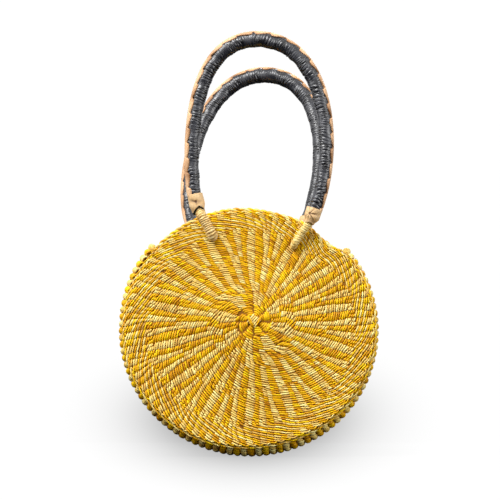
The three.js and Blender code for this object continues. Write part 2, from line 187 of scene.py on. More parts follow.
def slump(side: Side, angle: Array) -> Array:
    """Share by which the front disc's edge lies further in than a circle.

    It is the sum of three bells: a lopsided and a shallow one on the free edge, and one at the bottom.

    Args:
        side: The disc's side; the back disc is round.
        angle: Angles about the disc's middle.

    Returns:
        The share at each angle.
    """
    if side is Side.BACK:
        return np.zeros_like(angle)
    off = off_from(angle, SLUMP_ANGLE)
    upper = SLUMP_DEPTH * bell(off, np.where(off > 0.0, SLUMP_WIDTH_UP, SLUMP_WIDTH_DOWN))
    return upper + SAG_DEPTH * bell(off_from(angle, SAG_ANGLE), SAG_WIDTH) + LIFT_DEPTH * lifted(angle)


def waves(along: Array, turn: Array, rng: Random, lengths: tuple[float, float]) -> Array:
    """An uneven field on a tube: a sum of cosines along it, each with a whole number of turns round it.

    Args:
        along: Distance along the tube.
        turn: Angle round the tube.
        rng: Source of the waves' lengths and phases.
        lengths: Shortest and longest wave along the tube.

    Returns:
        Values of about -2 to 2, of the broadcast shape of along and turn.
    """
    count = 44
    length = rng.uniform(*lengths, count)
    round_count = rng.integers(-2, 3, count)
    phase = rng.uniform(0.0, FULL_TURN, count)
    total = np.zeros(np.broadcast(along, turn).shape)
    for wave in range(count):
        total += np.cos(FULL_TURN * along / length[wave] + round_count[wave] * turn + phase[wave])
    return total / sqrt(count / 2.0)


@dataclass
class Shape:
    """Points and faces of one mesh."""

    points: Array  # a row of x, y and z for each point
    faces: list[Array]  # point numbers, one array for each count of corners
    lay: Array  # each point's way along the strand or hide and round it, and a tone from 0 to 1

    def outward(self) -> "Shape":
        """Turns the faces outward, by the sign of the volume, which is summed over fans of triangles."""
        total = 0.0
        centred = self.points - self.points.mean(axis=0)
        for corners in self.faces:
            first = centred[corners[:, 0]]
            for step in range(1, corners.shape[1] - 1):
                second, third = centred[corners[:, step]], centred[corners[:, step + 1]]
                total += float(np.einsum("ij,ij->", first, np.cross(second, third)))
        if total < 0.0:
            self.faces = [corners[:, ::-1] for corners in self.faces]
        return self

    def joined(self, other: "Shape") -> "Shape":
        """One shape that holds this one and another."""
        faces = self.faces + [corners + len(self.points) for corners in other.faces]
        points, lay = (np.concatenate(pair) for pair in ((self.points, other.points), (self.lay, other.lay)))
        return Shape(points, faces, lay)


def tubes(points: Array, lay: Array, ring_closed: bool = False) -> Shape:
    """Skins a grid of rings as closed tubes: neighbouring rings are joined by quads.

    Args:
        points: Tube, ring, corner and x y z, in that order; a lone tube needs no first axis.
        lay: The same grid of lay values.
        ring_closed: Whether the last ring joins the first; otherwise both ends get a lid.

    Returns:
        The tubes as one shape, with faces outward.
    """
    rings, sides = points.shape[-3:-1]
    side = np.arange(sides)
    beside = (side + 1) % sides
    ring = np.arange(rings if ring_closed else rings - 1)[:, None]
    here, after = ring * sides, (ring + 1) % rings * sides
    quads = stacked(here + side, here + beside, after + beside, after + side).reshape(-1, 4)
    starts = np.arange(0, points.size // 3, rings * sides)[:, None, None]
    faces = [(quads + starts).reshape(-1, 4)]
    if not ring_closed:
        lids = np.stack([side[::-1], (rings - 1) * sides + side])
        faces.append((lids + starts).reshape(-1, sides))
    return Shape(points.reshape(-1, 3), faces, lay.reshape(-1, 3)).outward()


def round_tube(
    centre: Array, across: Array, over: Array, radius: Array, tone: Array, ring_closed: bool = False
) -> Shape:
    """Carries a round section along a path: each corner is centre + radius (across cos + over sin).

    Args:
        centre: The path, ring by ring.
        across: Unit vectors square to the path, ring by ring, or one for all rings.
        over: Unit vectors square to both, likewise.
        radius: Ring by corner.
        tone: From 0 to 1, ring by corner or ring by ring in a column.
        ring_closed: Whether the path closes on itself.

    Returns:
        The tube.
    """
    turn = ring_angles(radius.shape[1])
    across, over = (np.broadcast_to(way, centre.shape)[:, None] for way in (across, over))
    spread = across * np.cos(turn)[:, None] + over * np.sin(turn)[:, None]
    points = centre[:, None] + spread * radius[..., None]
    return tubes(points, stacked(arc_length(centre)[:, None], radius * turn, tone), ring_closed)


# Finishes

GRASS_AND_HIDE_IOR = 1.5


def linear(code: str) -> tuple[float, float, float, float]:
    """The linear colour of an sRGB hex code."""
    parts = [int(code[place : place + 2], 16) / 255.0 for place in (1, 3, 5)]
    red, green, blue = (
        part / 12.92 if part <= 0.04045 else ((part + 0.055) / 1.055) ** 2.4 for part in parts
    )
    return (red, green, blue, 1.0)


def set_inputs(tree: Tree, node: bpy.types.Node, inputs: dict[Any, Any]) -> None:
    """Sets a node's inputs, by name or number, to values, or links them to sockets."""
    for key, value in inputs.items():
        if isinstance(value, Socket):
            tree.links.new(value, node.inputs[key])
        else:
            node.inputs[key].default_value = value


def add_node(tree: Tree, kind: str, inputs: dict[Any, Any], **settings: Any) -> Any:
    """Adds a node with its settings, input values and links.

    Args:
        tree: The node tree to add to.
        kind: The node's type name, without the ShaderNode that it starts with.
        inputs: Input name or number to a value, or to the socket that is linked to it.
        settings: Properties of the node.

    Returns:
        The node's outputs.
    """
    node = tree.nodes.new(f"ShaderNode{kind}")
    for name, value in settings.items():
        setattr(node, name, value)
    set_inputs(tree, node, inputs)
    return node.outputs


def fresh_material(name: str) -> tuple[Material, Tree, bpy.types.Node]:
    """A new material, its node tree and its Principled node."""
    material = bpy.data.materials.new(name)
    material.use_nodes = True
    return material, material.node_tree, material.node_tree.nodes["Principled BSDF"]


@dataclass(frozen=True)
class Finish:
    """A finish with three tones, for one of the record's slots."""

    name: str
    slot: Slot
    dark: str
    middle: str
    light: str

    def inputs(self, tree: Tree, lay: Socket, tone: Socket, where: Socket) -> dict[str, Any]:
        """What feeds the Principled node, which each kind of finish says.

        Args:
            tree: The material's node tree.
            lay: Socket with the lay, along and round the strand or hide in millimetres.
            tone: Socket with the lay's tone.
            where: Socket with the place on the piece in metres.

        Returns:
            Input name to a value or a socket.
        """
        raise NotImplementedError

    def build(self) -> Material:
        """Makes the material."""
        material, tree, shader = fresh_material(self.name)
        lay = add_node(tree, "Attribute", {}, attribute_name="lay")["Vector"]
        tone = add_node(tree, "SeparateXYZ", {0: lay})["Z"]
        where = add_node(tree, "TexCoord", {})["Object"]
        set_inputs(tree, shader, {"IOR": GRASS_AND_HIDE_IOR} | self.inputs(tree, lay, tone, where))
        return material

    def coloured(
        self, tree: Tree, start: float, shares: Sequence[tuple[Socket, float]], places: Sequence[float]
    ) -> Socket:
        """Mixes the three tones by a sum of sources.

        Args:
            tree: The material's node tree.
            start: What the sum starts with.
            shares: Each source, a socket, and what it is multiplied by in the sum.
            places: The sums at which the dark, middle and light tones are reached.

        Returns:
            The colour.
        """
        total: Any = start
        for source, share in shares:
            total = add_node(tree, "Math", {0: source, 1: share, 2: total}, operation="MULTIPLY_ADD")[0]
        colour = add_node(tree, "ValToRGB", {"Fac": total})["Color"]
        stops = colour.node.color_ramp.elements
        stops.new(0.5)
        for stop, place, code in zip(stops, places, (self.dark, self.middle, self.light)):
            stop.position = place
            stop.color = linear(code)
        return colour


@dataclass(frozen=True)
class StrawFinish(Finish):
    """Split elephant grass, twisted and dyed or plain.

    The eye sees a silky strand with fine fibre lines along it, and stitches that differ in tone.
    """

    roughness: float = 0.46
    fibre_width: float = 0.55  # drawn about twice as coarse as the real fibres, so that they show
    fibre_length: float = 9.0
    fibre_change: float = 41.0  # how far apart in the noise the darkest and lightest stitches lie
    fade_size: float = 30.0
    bump: float = 0.0003
    gloss: float = 0.22

    def inputs(self, tree: Tree, lay: Socket, tone: Socket, where: Socket) -> dict[str, Any]:
        """Fibre noise, the stitch's tone and slow fading pick the colour, and fibres give bump."""
        scales = (1.0 / self.fibre_length, 1.0 / self.fibre_width, self.fibre_change)
        at = add_node(tree, "VectorMath", {0: lay, 1: scales}, operation="MULTIPLY")[0]
        fibre = add_node(tree, "TexNoise", {"Vector": at, "Scale": 1.0, "Detail": 2.0})["Fac"]
        fade_scale = 1.0 / (self.fade_size * MM)
        fade = add_node(tree, "TexNoise", {"Vector": where, "Scale": fade_scale, "Detail": 2.0})["Fac"]
        bump = add_node(tree, "Bump", {"Height": fibre, "Strength": 0.6, "Distance": self.bump})
        shares = [(tone, 0.66), (fade, 0.25), (fibre, 0.85)]
        return {
            "Base Color": self.coloured(tree, -0.33, shares, (0.18, 0.5, 0.84)),
            "Normal": bump["Normal"],
            "Roughness": self.roughness,
            "Specular IOR Level": self.gloss,
        }


@dataclass(frozen=True)
class LeatherFinish(Finish):
    """Goat leather, dyed or left in its tanned colour.

    The eye sees fine pores, soft patches of tone and creases that are painted darker, as shade.
    """

    smoothest: float
    roughest: float
    pore: float = 0.9
    patch: float = 11.0
    bump: float = 0.00022
    gloss: float = 0.5

    def inputs(self, tree: Tree, lay: Socket, tone: Socket, where: Socket) -> dict[str, Any]:
        """Patches and the lay's tone, which holds painted shade in creases and folds, pick the colour,
        patches the roughness, and pores give bump.
        """
        patch_scale, pore_scale = 1.0 / (self.patch * MM), 1.0 / (self.pore * MM)
        patch = add_node(tree, "TexNoise", {"Vector": where, "Scale": patch_scale, "Detail": 4.0})["Fac"]
        pores_at = {"Vector": where, "Scale": pore_scale}
        pores = add_node(tree, "TexVoronoi", pores_at, feature="DISTANCE_TO_EDGE")["Distance"]
        rough = {"Value": patch, 1: 0.3, 2: 0.7, 3: self.smoothest, 4: self.roughest}
        bump = add_node(tree, "Bump", {"Height": pores, "Strength": 0.5, "Distance": self.bump})
        return {
            "Base Color": self.coloured(tree, -0.2, [(tone, 0.75), (patch, 0.6)], (0.12, 0.5, 0.82)),
            "Normal": bump["Normal"],
            "Roughness": add_node(tree, "MapRange", rough)["Result"],
            "Specular IOR Level": self.gloss,
        }


YELLOW_STRAW = StrawFinish(
    "dyed_yellow_elephant_grass", Slot.DYED_STRAW, "#B87600", "#E9AC00", "#FFDA0C"
)
NATURAL_STRAW = StrawFinish(
    "natural_elephant_grass", Slot.NATURAL_STRAW, "#CC9A48", "#F2CD68", "#FFF3A4"
)
LOOP_STRAW = StrawFinish(
    "wound_natural_grass", Slot.NATURAL_STRAW, "#86602A", "#E4BE76", "#F9E6B0", roughness=0.6
)
SMOOTH_LOOP_STRAW = StrawFinish(
    "smooth_wound_grass", Slot.NATURAL_STRAW, "#B0843A", "#E6C572", "#F8E6A4", roughness=0.6
)
# The stakes' dark brown is painted shade, which shows in the gaps between the stitches.
SHADED_STAKE_STRAW = StrawFinish(
    "shaded_stake_grass", Slot.NATURAL_STRAW, "#6E420A", "#8E5C12", "#A8741C", roughness=0.7
)
BLACK_LEATHER = LeatherFinish(
    "black_goat_leather", Slot.BLACK_LEATHER, "#050508", "#0E0E13", "#36373E", 0.16, 0.46, gloss=0.8
)
TAN_LEATHER = LeatherFinish(
    "tan_goat_leather", Slot.TAN_LEATHER, "#5A3818", "#E8BF88", "#F6D8AA", 0.5, 0.68
)
LACE_LEATHER = LeatherFinish(
    "tan_lace_leather", Slot.TAN_LEATHER, "#8A5C34", "#E2B284", "#F0CCA2", 0.5, 0.66
)
STRAW_OF_DYE = {Dye.YELLOW: YELLOW_STRAW, Dye.NATURAL: NATURAL_STRAW}


@cache
def material_of(finish: Finish) -> Material:
    """The material of a finish, made on first use."""
    return finish.build()


# Pieces

def make_object(name: str, shape: Shape, material: Material) -> bpy.types.Object:
    """Puts a shape into a mesh object at the origin.

    Args:
        name: The piece's name.
        shape: Its shape in millimetres.
        material: Its finish.

    Returns:
        The object, linked to the scene.
    """
    mesh = bpy.data.meshes.new(name)
    corners = np.concatenate([part.ravel() for part in shape.faces]).astype(np.int32)
    counts = np.concatenate([np.full(len(part), part.shape[1]) for part in shape.faces])
    starts = np.concatenate([[0], np.cumsum(counts)[:-1]]).astype(np.int32)
    mesh.vertices.add(len(shape.points))
    mesh.vertices.foreach_set("co", (shape.points * MM).astype(np.float32).ravel())
    mesh.loops.add(len(corners))
    mesh.loops.foreach_set("vertex_index", corners)
    mesh.polygons.add(len(counts))
    mesh.polygons.foreach_set("loop_start", starts)
    mesh.polygons.foreach_set("use_smooth", np.ones(len(counts), dtype=bool))
    lay = mesh.attributes.new("lay", "FLOAT_VECTOR", "POINT")
    lay.data.foreach_set("vector", shape.lay.astype(np.float32).ravel())
    mesh.materials.append(material)
    mesh.update(calc_edges=True)
    mesh.validate()
    piece = bpy.data.objects.new(name, mesh)
    bpy.context.scene.collection.objects.link(piece)
    LOG.info("%s: %d faces", name, len(counts))
    return piece


def place(
    name: str, shape: Shape, finish: Finish, body: str, nodes: Sequence[str], bend: Sequence[Array] = ()
) -> None:
    """Makes a piece that moves with a body, unless it is soft.

    Args:
        name: The piece's name.
        shape: Its shape.
        finish: Its finish.
        body: The body it moves with, if it is not soft.
        nodes: The solids that it stands for.
        bend: For a soft piece, points from the bag to the body; only whether there are any is read, and such
            a piece is left unattached.
    """
    piece = make_object(name, shape, material_of(finish))
    if bend:
        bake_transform(piece)
    else:
        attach(piece, body)
    if nodes:
        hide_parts(*nodes)


# Twined weave

@dataclass(frozen=True)
class Stitch:
    """One slanted stitch of a twined row: a strand that rises over a stake and dives on both sides."""

    half_width: float = 0.97
    half_thickness: float = 1.2
    dive: float = 1.0
    overlap: float = 1.12  # its length as a share of the stake spacing
    rise: float = 1.25  # from stake to stake, in row pitches, where that isn't too steep
    steepest: float = 0.55  # largest rise across the rows for each millimetre along
    narrowing: float = 0.3  # how much smaller its section is at its ends
    slope_spread: float = 0.07  # how much stitches differ by chance, as shares of their measures
    length_spread: float = 0.04
    width_spread: float = 0.06
    lift_spread: float = 0.1  # in millimetres
    tone_spread: float = 0.2
    grass_length: float = 400.0  # a stitch's fibres start anywhere on a blade of this length
    rings: int = 5
    sides: int = 6

    def runs(self, spacing: Array, pitch: float, rng: Random) -> tuple[Array, Array]:
        """Works out all stitches in their own axes: along the row, across the rows, and height.

        The middle line rises by the slope across the rows and falls by dive times the square of the
        share of half its length. The section is an ellipse that narrows towards both ends.

        Args:
            spacing: Stake spacing at each stitch.
            pitch: Distance between rows.
            rng: Source of the small differences between stitches.

        Returns:
            Stitch, ring, corner and axis; and the lay values on the same grid.
        """
        count = len(spacing)
        part = np.linspace(-1.0, 1.0, self.rings)
        turn = ring_angles(self.sides) + pi / self.sides
        slope = np.minimum(self.rise * pitch / spacing, self.steepest)
        slope = slope * rng.normal(1.0, self.slope_spread, count)
        length = spacing * self.overlap * rng.normal(1.0, self.length_spread, count)
        wide = self.half_width * rng.normal(1.0, self.width_spread, count)
        lift = rng.normal(0.0, self.lift_spread, count)
        tone = np.clip(rng.normal(0.5, self.tone_spread, count), 0.0, 1.0)
        start = rng.uniform(0.0, self.grass_length, count)
        taper = 1.0 - self.narrowing * part**4
        along = 0.5 * length[:, None] * part
        lean = np.arctan(slope)[:, None, None]
        width = (wide[:, None] * taper)[:, :, None] * np.cos(turn)
        height = (self.half_thickness * taper)[:, None] * np.sin(turn)
        middle = lift[:, None] - self.dive * part**2
        run = stacked(
            along[:, :, None] - np.sin(lean) * width,
            (slope[:, None] * along)[:, :, None] + np.cos(lean) * width,
            middle[:, :, None] + height,
        )
        way = (start[:, None] + along)[:, :, None]
        return run, stacked(way, self.half_width * turn, tone[:, None, None])


OUTER_STITCH = Stitch()
CENTRE_STITCH = Stitch(half_width=1.3, half_thickness=1.2, dive=1.9, overlap=1.06)
INNER_STITCH = Stitch(rings=3, sides=4, half_width=1.3, overlap=1.05)
RIM_STITCH = Stitch(half_width=1.5, half_thickness=1.0, dive=0.9)
BAND_STITCH = Stitch(half_width=1.42, half_thickness=1.3, dive=2.3, overlap=1.05, steepest=0.32)


@dataclass
class Stitches:
    """Where the stitches of a weave lie."""

    angle: Array  # of each stitch's middle about the discs' middle
    row: Array  # its row's radius on a disc, or depth on the band
    radius: Array  # at which the angle is turned into a length
    spacing: Array  # between two stakes there
    dye: Array  # the strand's colour, as a number of Dye

    def picked(self, keep: Array) -> "Stitches":
        """The stitches that a mask keeps."""
        return Stitches(*(part[keep] for part in vars(self).values()))

    def by_dye(self, dye: Dye) -> tuple["Stitches", "Stitches"]:
        """The stitches of one colour, and those that have it on their other face."""
        return self.picked(self.dye == dye.value), self.picked(self.dye != dye.value)


class Weave:
    """A twined surface; each kind of it says where its strands lie."""

    row_pitch: float
    rng: Random

    def laid(self, angle: Array, row: Array, height: Array, inner: bool) -> Array:
        """Points of strands on the outer or inner face, from their angle, row and height."""
        raise NotImplementedError

    def woven(self, stitches: Stitches, stitch: Stitch, inner: bool = False) -> Shape:
        """The strands of one colour on one face.

        Args:
            stitches: Where they lie.
            stitch: Their form.
            inner: Whether they lie on the face that looks into the bag.

        Returns:
            All stitches as one shape.
        """
        run, lay = stitch.runs(stitches.spacing, self.row_pitch, self.rng)
        angle = stitches.angle[:, None, None] + run[..., 0] / stitches.radius[:, None, None]
        row = stitches.row[:, None, None] + run[..., 1]
        return tubes(self.laid(angle, row, run[..., 2] - stitch.half_thickness, inner), lay)


@dataclass(frozen=True)
class WeaveZone:
    """A ring of a disc with one number of stakes, added between those of the ring inside it."""

    start: float  # radius at which it begins
    pairs: int  # number of yellow and natural columns, counted two by two
    inner_pairs: int  # the same number in the ring inside it
    checkered: bool = False  # whether the two strands trade places from row to row
    settling: float = 8.0  # radial way on which the new columns become as wide as the old ones

    def split(self) -> Array:
        """Where the pairs begin at the zone's start, in turns: inner pairs divided into equal parts."""
        index = np.arange(self.pairs)
        parent = index * self.inner_pairs // self.pairs
        first = -(-parent * self.pairs // self.inner_pairs)
        after = -(-(parent + 1) * self.pairs // self.inner_pairs)
        return (parent + (index - first) / (after - first)) / self.inner_pairs

    def lag(self) -> float:
        """How far, in turns, the evened columns turn on average if they start with the first one."""
        return float(np.mean(self.split() - np.arange(self.pairs) / self.pairs))

    def edges(self, row: float) -> Array:
        """Where the pairs begin in a row: the split places, evened out along a smooth step."""
        split = self.split()
        even = np.arange(self.pairs) / self.pairs + self.lag()
        return split + (even - split) * smooth(np.array((row - self.start) / self.settling))


@dataclass
class Disc(Weave):
    """One twined disc with its start knot and rim."""

    side: Side
    seed: int
    radius: float = 134.0
    outer_face: float = 48.0  # from the bag's middle to the flat margin's outer face
    inner_face: float = 42.0
    crown: float = 7.5
    swell_radius: float = 92.0
    weave_shift: tuple[float, float] = (5.8, 8.4)  # of the weave's middle, right and up
    row_pitch: float = 2.48
    first_row: float = 7.8
    last_row: float = 132.8
    plain_rows: float = 18.0  # inside this radius all wraps are yellow
    widest_stitch: float = 7.9  # where a column is wider, it takes two stitches
    hole_clearance: float = 2.9
    crest_above_face: float = 0.45
    block_rows: float = 127.5  # outside this radius the stripes run straight again
    raggedness: float = 1.4  # how far a zone's start wanders in and out
    ragged_waves: float = 3.0  # of that wandering, round the disc
    ragged_shift: float = 1.7  # angle between the waves of one zone's start and the next
    stray_along: float = 0.04  # how far stitches stray by chance, as a share of their spacing
    stray_across: float = 0.09  # the same across the rows, in millimetres
    rim_columns: int = 108
    rim_sink: float = 0.7  # how far the rim's strands lie in the edge
    stake_insets: tuple[float, float] = (1.35, 1.5)  # from the outer and the inner face to the stakes
    knot_drop: float = 2.4  # how far the knot's strands bend down at their ends
    zones: tuple[WeaveZone, ...] = (
        WeaveZone(0.0, 4, 4),
        WeaveZone(18.0, 8, 4),
        WeaveZone(33.0, 14, 8, settling=13.5),
        WeaveZone(47.5, 28, 14),
        WeaveZone(80.5, 42, 28, settling=30.0),
        WeaveZone(112.5, 54, 42, checkered=True, settling=19.0),
    )

    def __post_init__(self) -> None:
        """Seeds the disc's own random numbers."""
        self.rng = np.random.default_rng(self.seed)

    def swell(self, radius: Array) -> Array:
        """How far the disc's middle stands out of its margin: a cosine hump."""
        share = np.clip(radius / self.swell_radius, 0.0, 1.0)
        return 0.5 * self.crown * (1.0 + np.cos(pi * share))

    def settled(self, radius: Array, angle: Array, depth: Array) -> Array:
        """Points of round rows at their place: slumped, oval and, but for the edge, aside by the shift.

        Args:
            radius: Their radii in the round weave.
            angle: Their angles about the weave's middle.
            depth: Their distances from the bag's middle.

        Returns:
            The points.
        """
        share = radius / self.radius
        keep = 1.0 - slump(self.side, angle) * share**2
        points = polar(radius * keep, angle, self.side.value * depth)
        points[..., 0] = SIDE_STRETCH * (points[..., 0] + self.weave_shift[0] * (1.0 - share))
        points[..., 2] += self.weave_shift[1] * (1.0 - share)
        return points

    def layout(self) -> Stitches:
        """Lays out the rows ring by ring; a ring's start wanders in and out along a wave of the angle."""
        rows = np.arange(self.first_row, self.last_row + 0.01, self.row_pitch)
        ends = [zone.start for zone in self.zones[1:]] + [2.0 * self.radius]
        parts: list[Stitches] = []
        offset = 0.0
        for number, (zone, end) in enumerate(zip(self.zones, ends)):
            for count, row in enumerate(rows):
                begin = offset + zone.edges(row)
                width = np.diff(np.append(begin, begin[0] + 1.0))
                turns = (begin[:, None] + width[:, None] * np.array([0.25, 0.75])).ravel()
                spacing = np.repeat(width, 2) * pi * row
                stray = self.rng.normal(0.0, self.stray_along, len(turns)) * spacing / row
                angle = FULL_TURN * turns + stray
                swap = count if zone.checkered and row < self.block_rows else 0
                dye = (np.arange(len(turns)) + swap) % 2
                if row > self.plain_rows and spacing.mean() > self.widest_stitch:
                    side_by_side = np.array([-0.25, 0.25])
                    angle = (angle[:, None] + side_by_side * spacing[:, None] / row).ravel()
                    spacing, dye = np.repeat(spacing / 2.0, 2), np.repeat(dye, 2)
                if row < self.plain_rows:
                    dye = np.full(len(angle), Dye.YELLOW.value)
                wander = row + self.rng.normal(0.0, self.stray_across, len(angle))
                ragged, next_ragged = (
                    self.raggedness * np.sin(self.ragged_waves * angle + self.ragged_shift * ring)
                    for ring in (number, number + 1)
                )
                keep = (row >= zone.start + ragged) & (row < end + next_ragged)
                part = Stitches(angle, wander, np.full(len(angle), row), spacing, dye)
                parts.append(part.picked(keep))
            offset += zone.lag()
        every = zip(*(vars(part).values() for part in parts))
        return self.around_holes(Stitches(*map(np.concatenate, every)))

    def around_holes(self, stitches: Stitches) -> Stitches:
        """Leaves out the stitches where the loops pass through the disc."""
        place_of = self.settled(stitches.row, stitches.angle, 0.0)
        keep = np.ones(len(place_of), dtype=bool)
        for end in ENDS[self.side].values():
            gap = place_of - polar(end.hole, end.hole_angle, 0.0)
            keep &= np.linalg.norm(gap, axis=1) > self.hole_clearance
        return stitches.picked(keep)

    def laid(self, angle: Array, row: Array, height: Array, inner: bool) -> Array:
        """Points of strands above the disc's outer or inner face."""
        radius = np.clip(row, 0.5, self.radius)
        above = height + self.crest_above_face
        depth = self.inner_face - above if inner else self.outer_face + above
        return self.settled(radius, angle, depth + self.swell(radius))

    def rim(self, dye: Dye) -> Shape:
        """The stitches of one colour round the disc's edge: a row whose height points outward."""
        step = FULL_TURN / self.rim_columns
        middle = (np.arange(dye.value, self.rim_columns, 2) + 0.5) * step
        run, lay = RIM_STITCH.runs(np.full(len(middle), self.radius * step), self.row_pitch, self.rng)
        angle = middle[:, None, None] + run[..., 0] / self.radius
        radius = (self.radius + run[..., 2] - self.rim_sink) * (1.0 - slump(self.side, angle))
        depth = 0.6 * self.outer_face + 0.4 * self.inner_face + run[..., 1]
        return tubes(oval(radius, angle, self.side.value * depth), lay)

    def backing(self) -> Shape:
        """The stakes under the stitches, as a closed lens: a profile turned about the disc's middle; their
        dark finish is painted shade for the gaps between stitches.
        """
        radii = np.linspace(1.0, self.radius - 0.9, 40)
        front = self.outer_face - self.stake_insets[0] + self.swell(radii)
        rear = self.inner_face + self.stake_insets[1] + self.swell(radii)
        radius = np.concatenate([radii, radii[::-1]])[:, None]
        depth = np.concatenate([front, rear[::-1]])[:, None]
        angle = ring_angles(96)
        return tubes(self.settled(radius, angle, depth), stacked(radius, 4.0 * angle, 0.4))

    def bowed(self, starts: Array, ends: Array, lift: float, thickness: float = 0.8) -> Shape:
        """Strands over the disc's middle: each runs straight across and bends down at its ends.

        Args:
            starts: Right and up of each strand's start, from the weave's middle.
            ends: The same for its end.
            lift: Height of the strands' middles above the disc.
            thickness: Half their thickness.

        Returns:
            The strands; their height falls with the fourth power of the way from the middle.
        """
        part = np.linspace(-1.0, 1.0, 9)[:, None]
        middle, half = (starts + ends) / 2.0, (ends - starts) / 2.0
        line = (middle[:, None] + half[:, None] * part)[:, :, None]
        heading = unit(half)[:, None, None]
        turn = ring_angles(8)
        wide = 1.1 * thickness * np.cos(turn)
        height = lift - self.knot_drop * part**4 + thickness * np.sin(turn)
        points = stacked(
            line[..., 0] - heading[..., 1] * wide + SIDE_STRETCH * self.weave_shift[0],
            self.side.value * (self.outer_face + self.crown + height),
            line[..., 1] + heading[..., 0] * wide + CENTRE_HEIGHT + self.weave_shift[1],
        )
        tone = self.rng.uniform(0.4, 0.7, len(starts))[:, None, None]
        return tubes(points, stacked(6.0 * part, turn, tone))

    def knot(self) -> dict[Dye, Shape]:
        """The start knot: slanting natural strands side by side under a yellow strand bent to a V."""
        offset = (np.arange(5) - 2.0)[:, None] * np.array([1.9, -1.45])
        reach = np.array([3.9, 4.9])
        natural = self.bowed(offset - reach, offset + reach, 0.7)
        starts = np.array([[-6.6, 6.3], [8.1, 5.1], [-7.4, 5.4]])
        ends = np.array([[-0.6, -6.6], [2.4, -6.2], [-1.8, -6.8]])
        return {Dye.NATURAL: natural, Dye.YELLOW: self.bowed(starts, ends, 1.7)}

    def build(self) -> None:
        """Makes the disc's pieces."""
        panel, knot = f"{self.side.label}_panel", f"{self.side.label}_start_knot"
        stitches = self.layout()
        knots = self.knot()
        for dye in Dye:
            own, other = stitches.by_dye(dye)
            central = own.row < self.plain_rows
            wraps = self.woven(own.picked(central), CENTRE_STITCH)
            outside = self.woven(own.picked(~central), OUTER_STITCH).joined(wraps)
            inside = self.woven(other, INNER_STITCH, inner=True)
            finish, colour = STRAW_OF_DYE[dye], dye.label
            place(f"{panel}_{colour}", outside, finish, "bag", [panel])
            place(f"{panel}_inside_{colour}", inside, finish, "bag", [panel])
            place(f"{panel}_rim_{colour}", self.rim(dye), finish, "bag", [panel])
            place(f"{knot}_{colour}", knots[dye], finish, "bag", [knot])
        # the stakes' dark finish is painted shade between the stitches
        place(f"{panel}_stakes", self.backing(), SHADED_STAKE_STRAW, "bag", [panel])


@dataclass
class RimCord:
    """A two-strand twist of straw along an arc of a disc's edge, one strand yellow and one natural."""

    side: Side
    node: str
    radius: float
    depth: float  # from the bag's middle
    start: float
    sweep: float
    strand_radius: float
    twist_radius: float
    twist_pitch: float
    step: float = 1.3
    sides: int = 7

    def strand(self, phase: float, rng: Random) -> Shape:
        """One strand: a round section carried along a helix about the arc.

        Args:
            phase: Where in the twist the strand starts.
            rng: Source of its tone.

        Returns:
            The strand.
        """
        length = self.radius * self.sweep
        part = np.linspace(0.0, 1.0, int(length / self.step))
        angle = self.start + self.sweep * part
        turn = FULL_TURN * length * part / self.twist_pitch + phase
        ends = np.minimum(1.0, 8.0 * np.minimum(part, 1.0 - part) + 0.35)
        radius = (self.radius + self.twist_radius * np.cos(turn)) * (1.0 - slump(self.side, angle))
        depth = self.side.value * self.depth + self.twist_radius * np.sin(turn)
        section = np.tile((self.strand_radius * ends)[:, None], self.sides)
        tone = np.clip(0.5 + 0.3 * np.sin(turn * 0.31 + phase)[:, None] + rng.normal(0.0, 0.05), 0.0, 1.0)
        centre, along_y = oval(radius, angle, depth), np.array([0.0, 1.0, 0.0])
        return round_tube(centre, spoke(angle), along_y, section, tone)

    def build(self, rng: Random) -> None:
        """Makes the two strands."""
        for dye, phase in ((Dye.YELLOW, 0.0), (Dye.NATURAL, pi)):
            name = f"{self.node}_{dye.label}"
            place(name, self.strand(phase, rng), STRAW_OF_DYE[dye], "bag", [self.node])


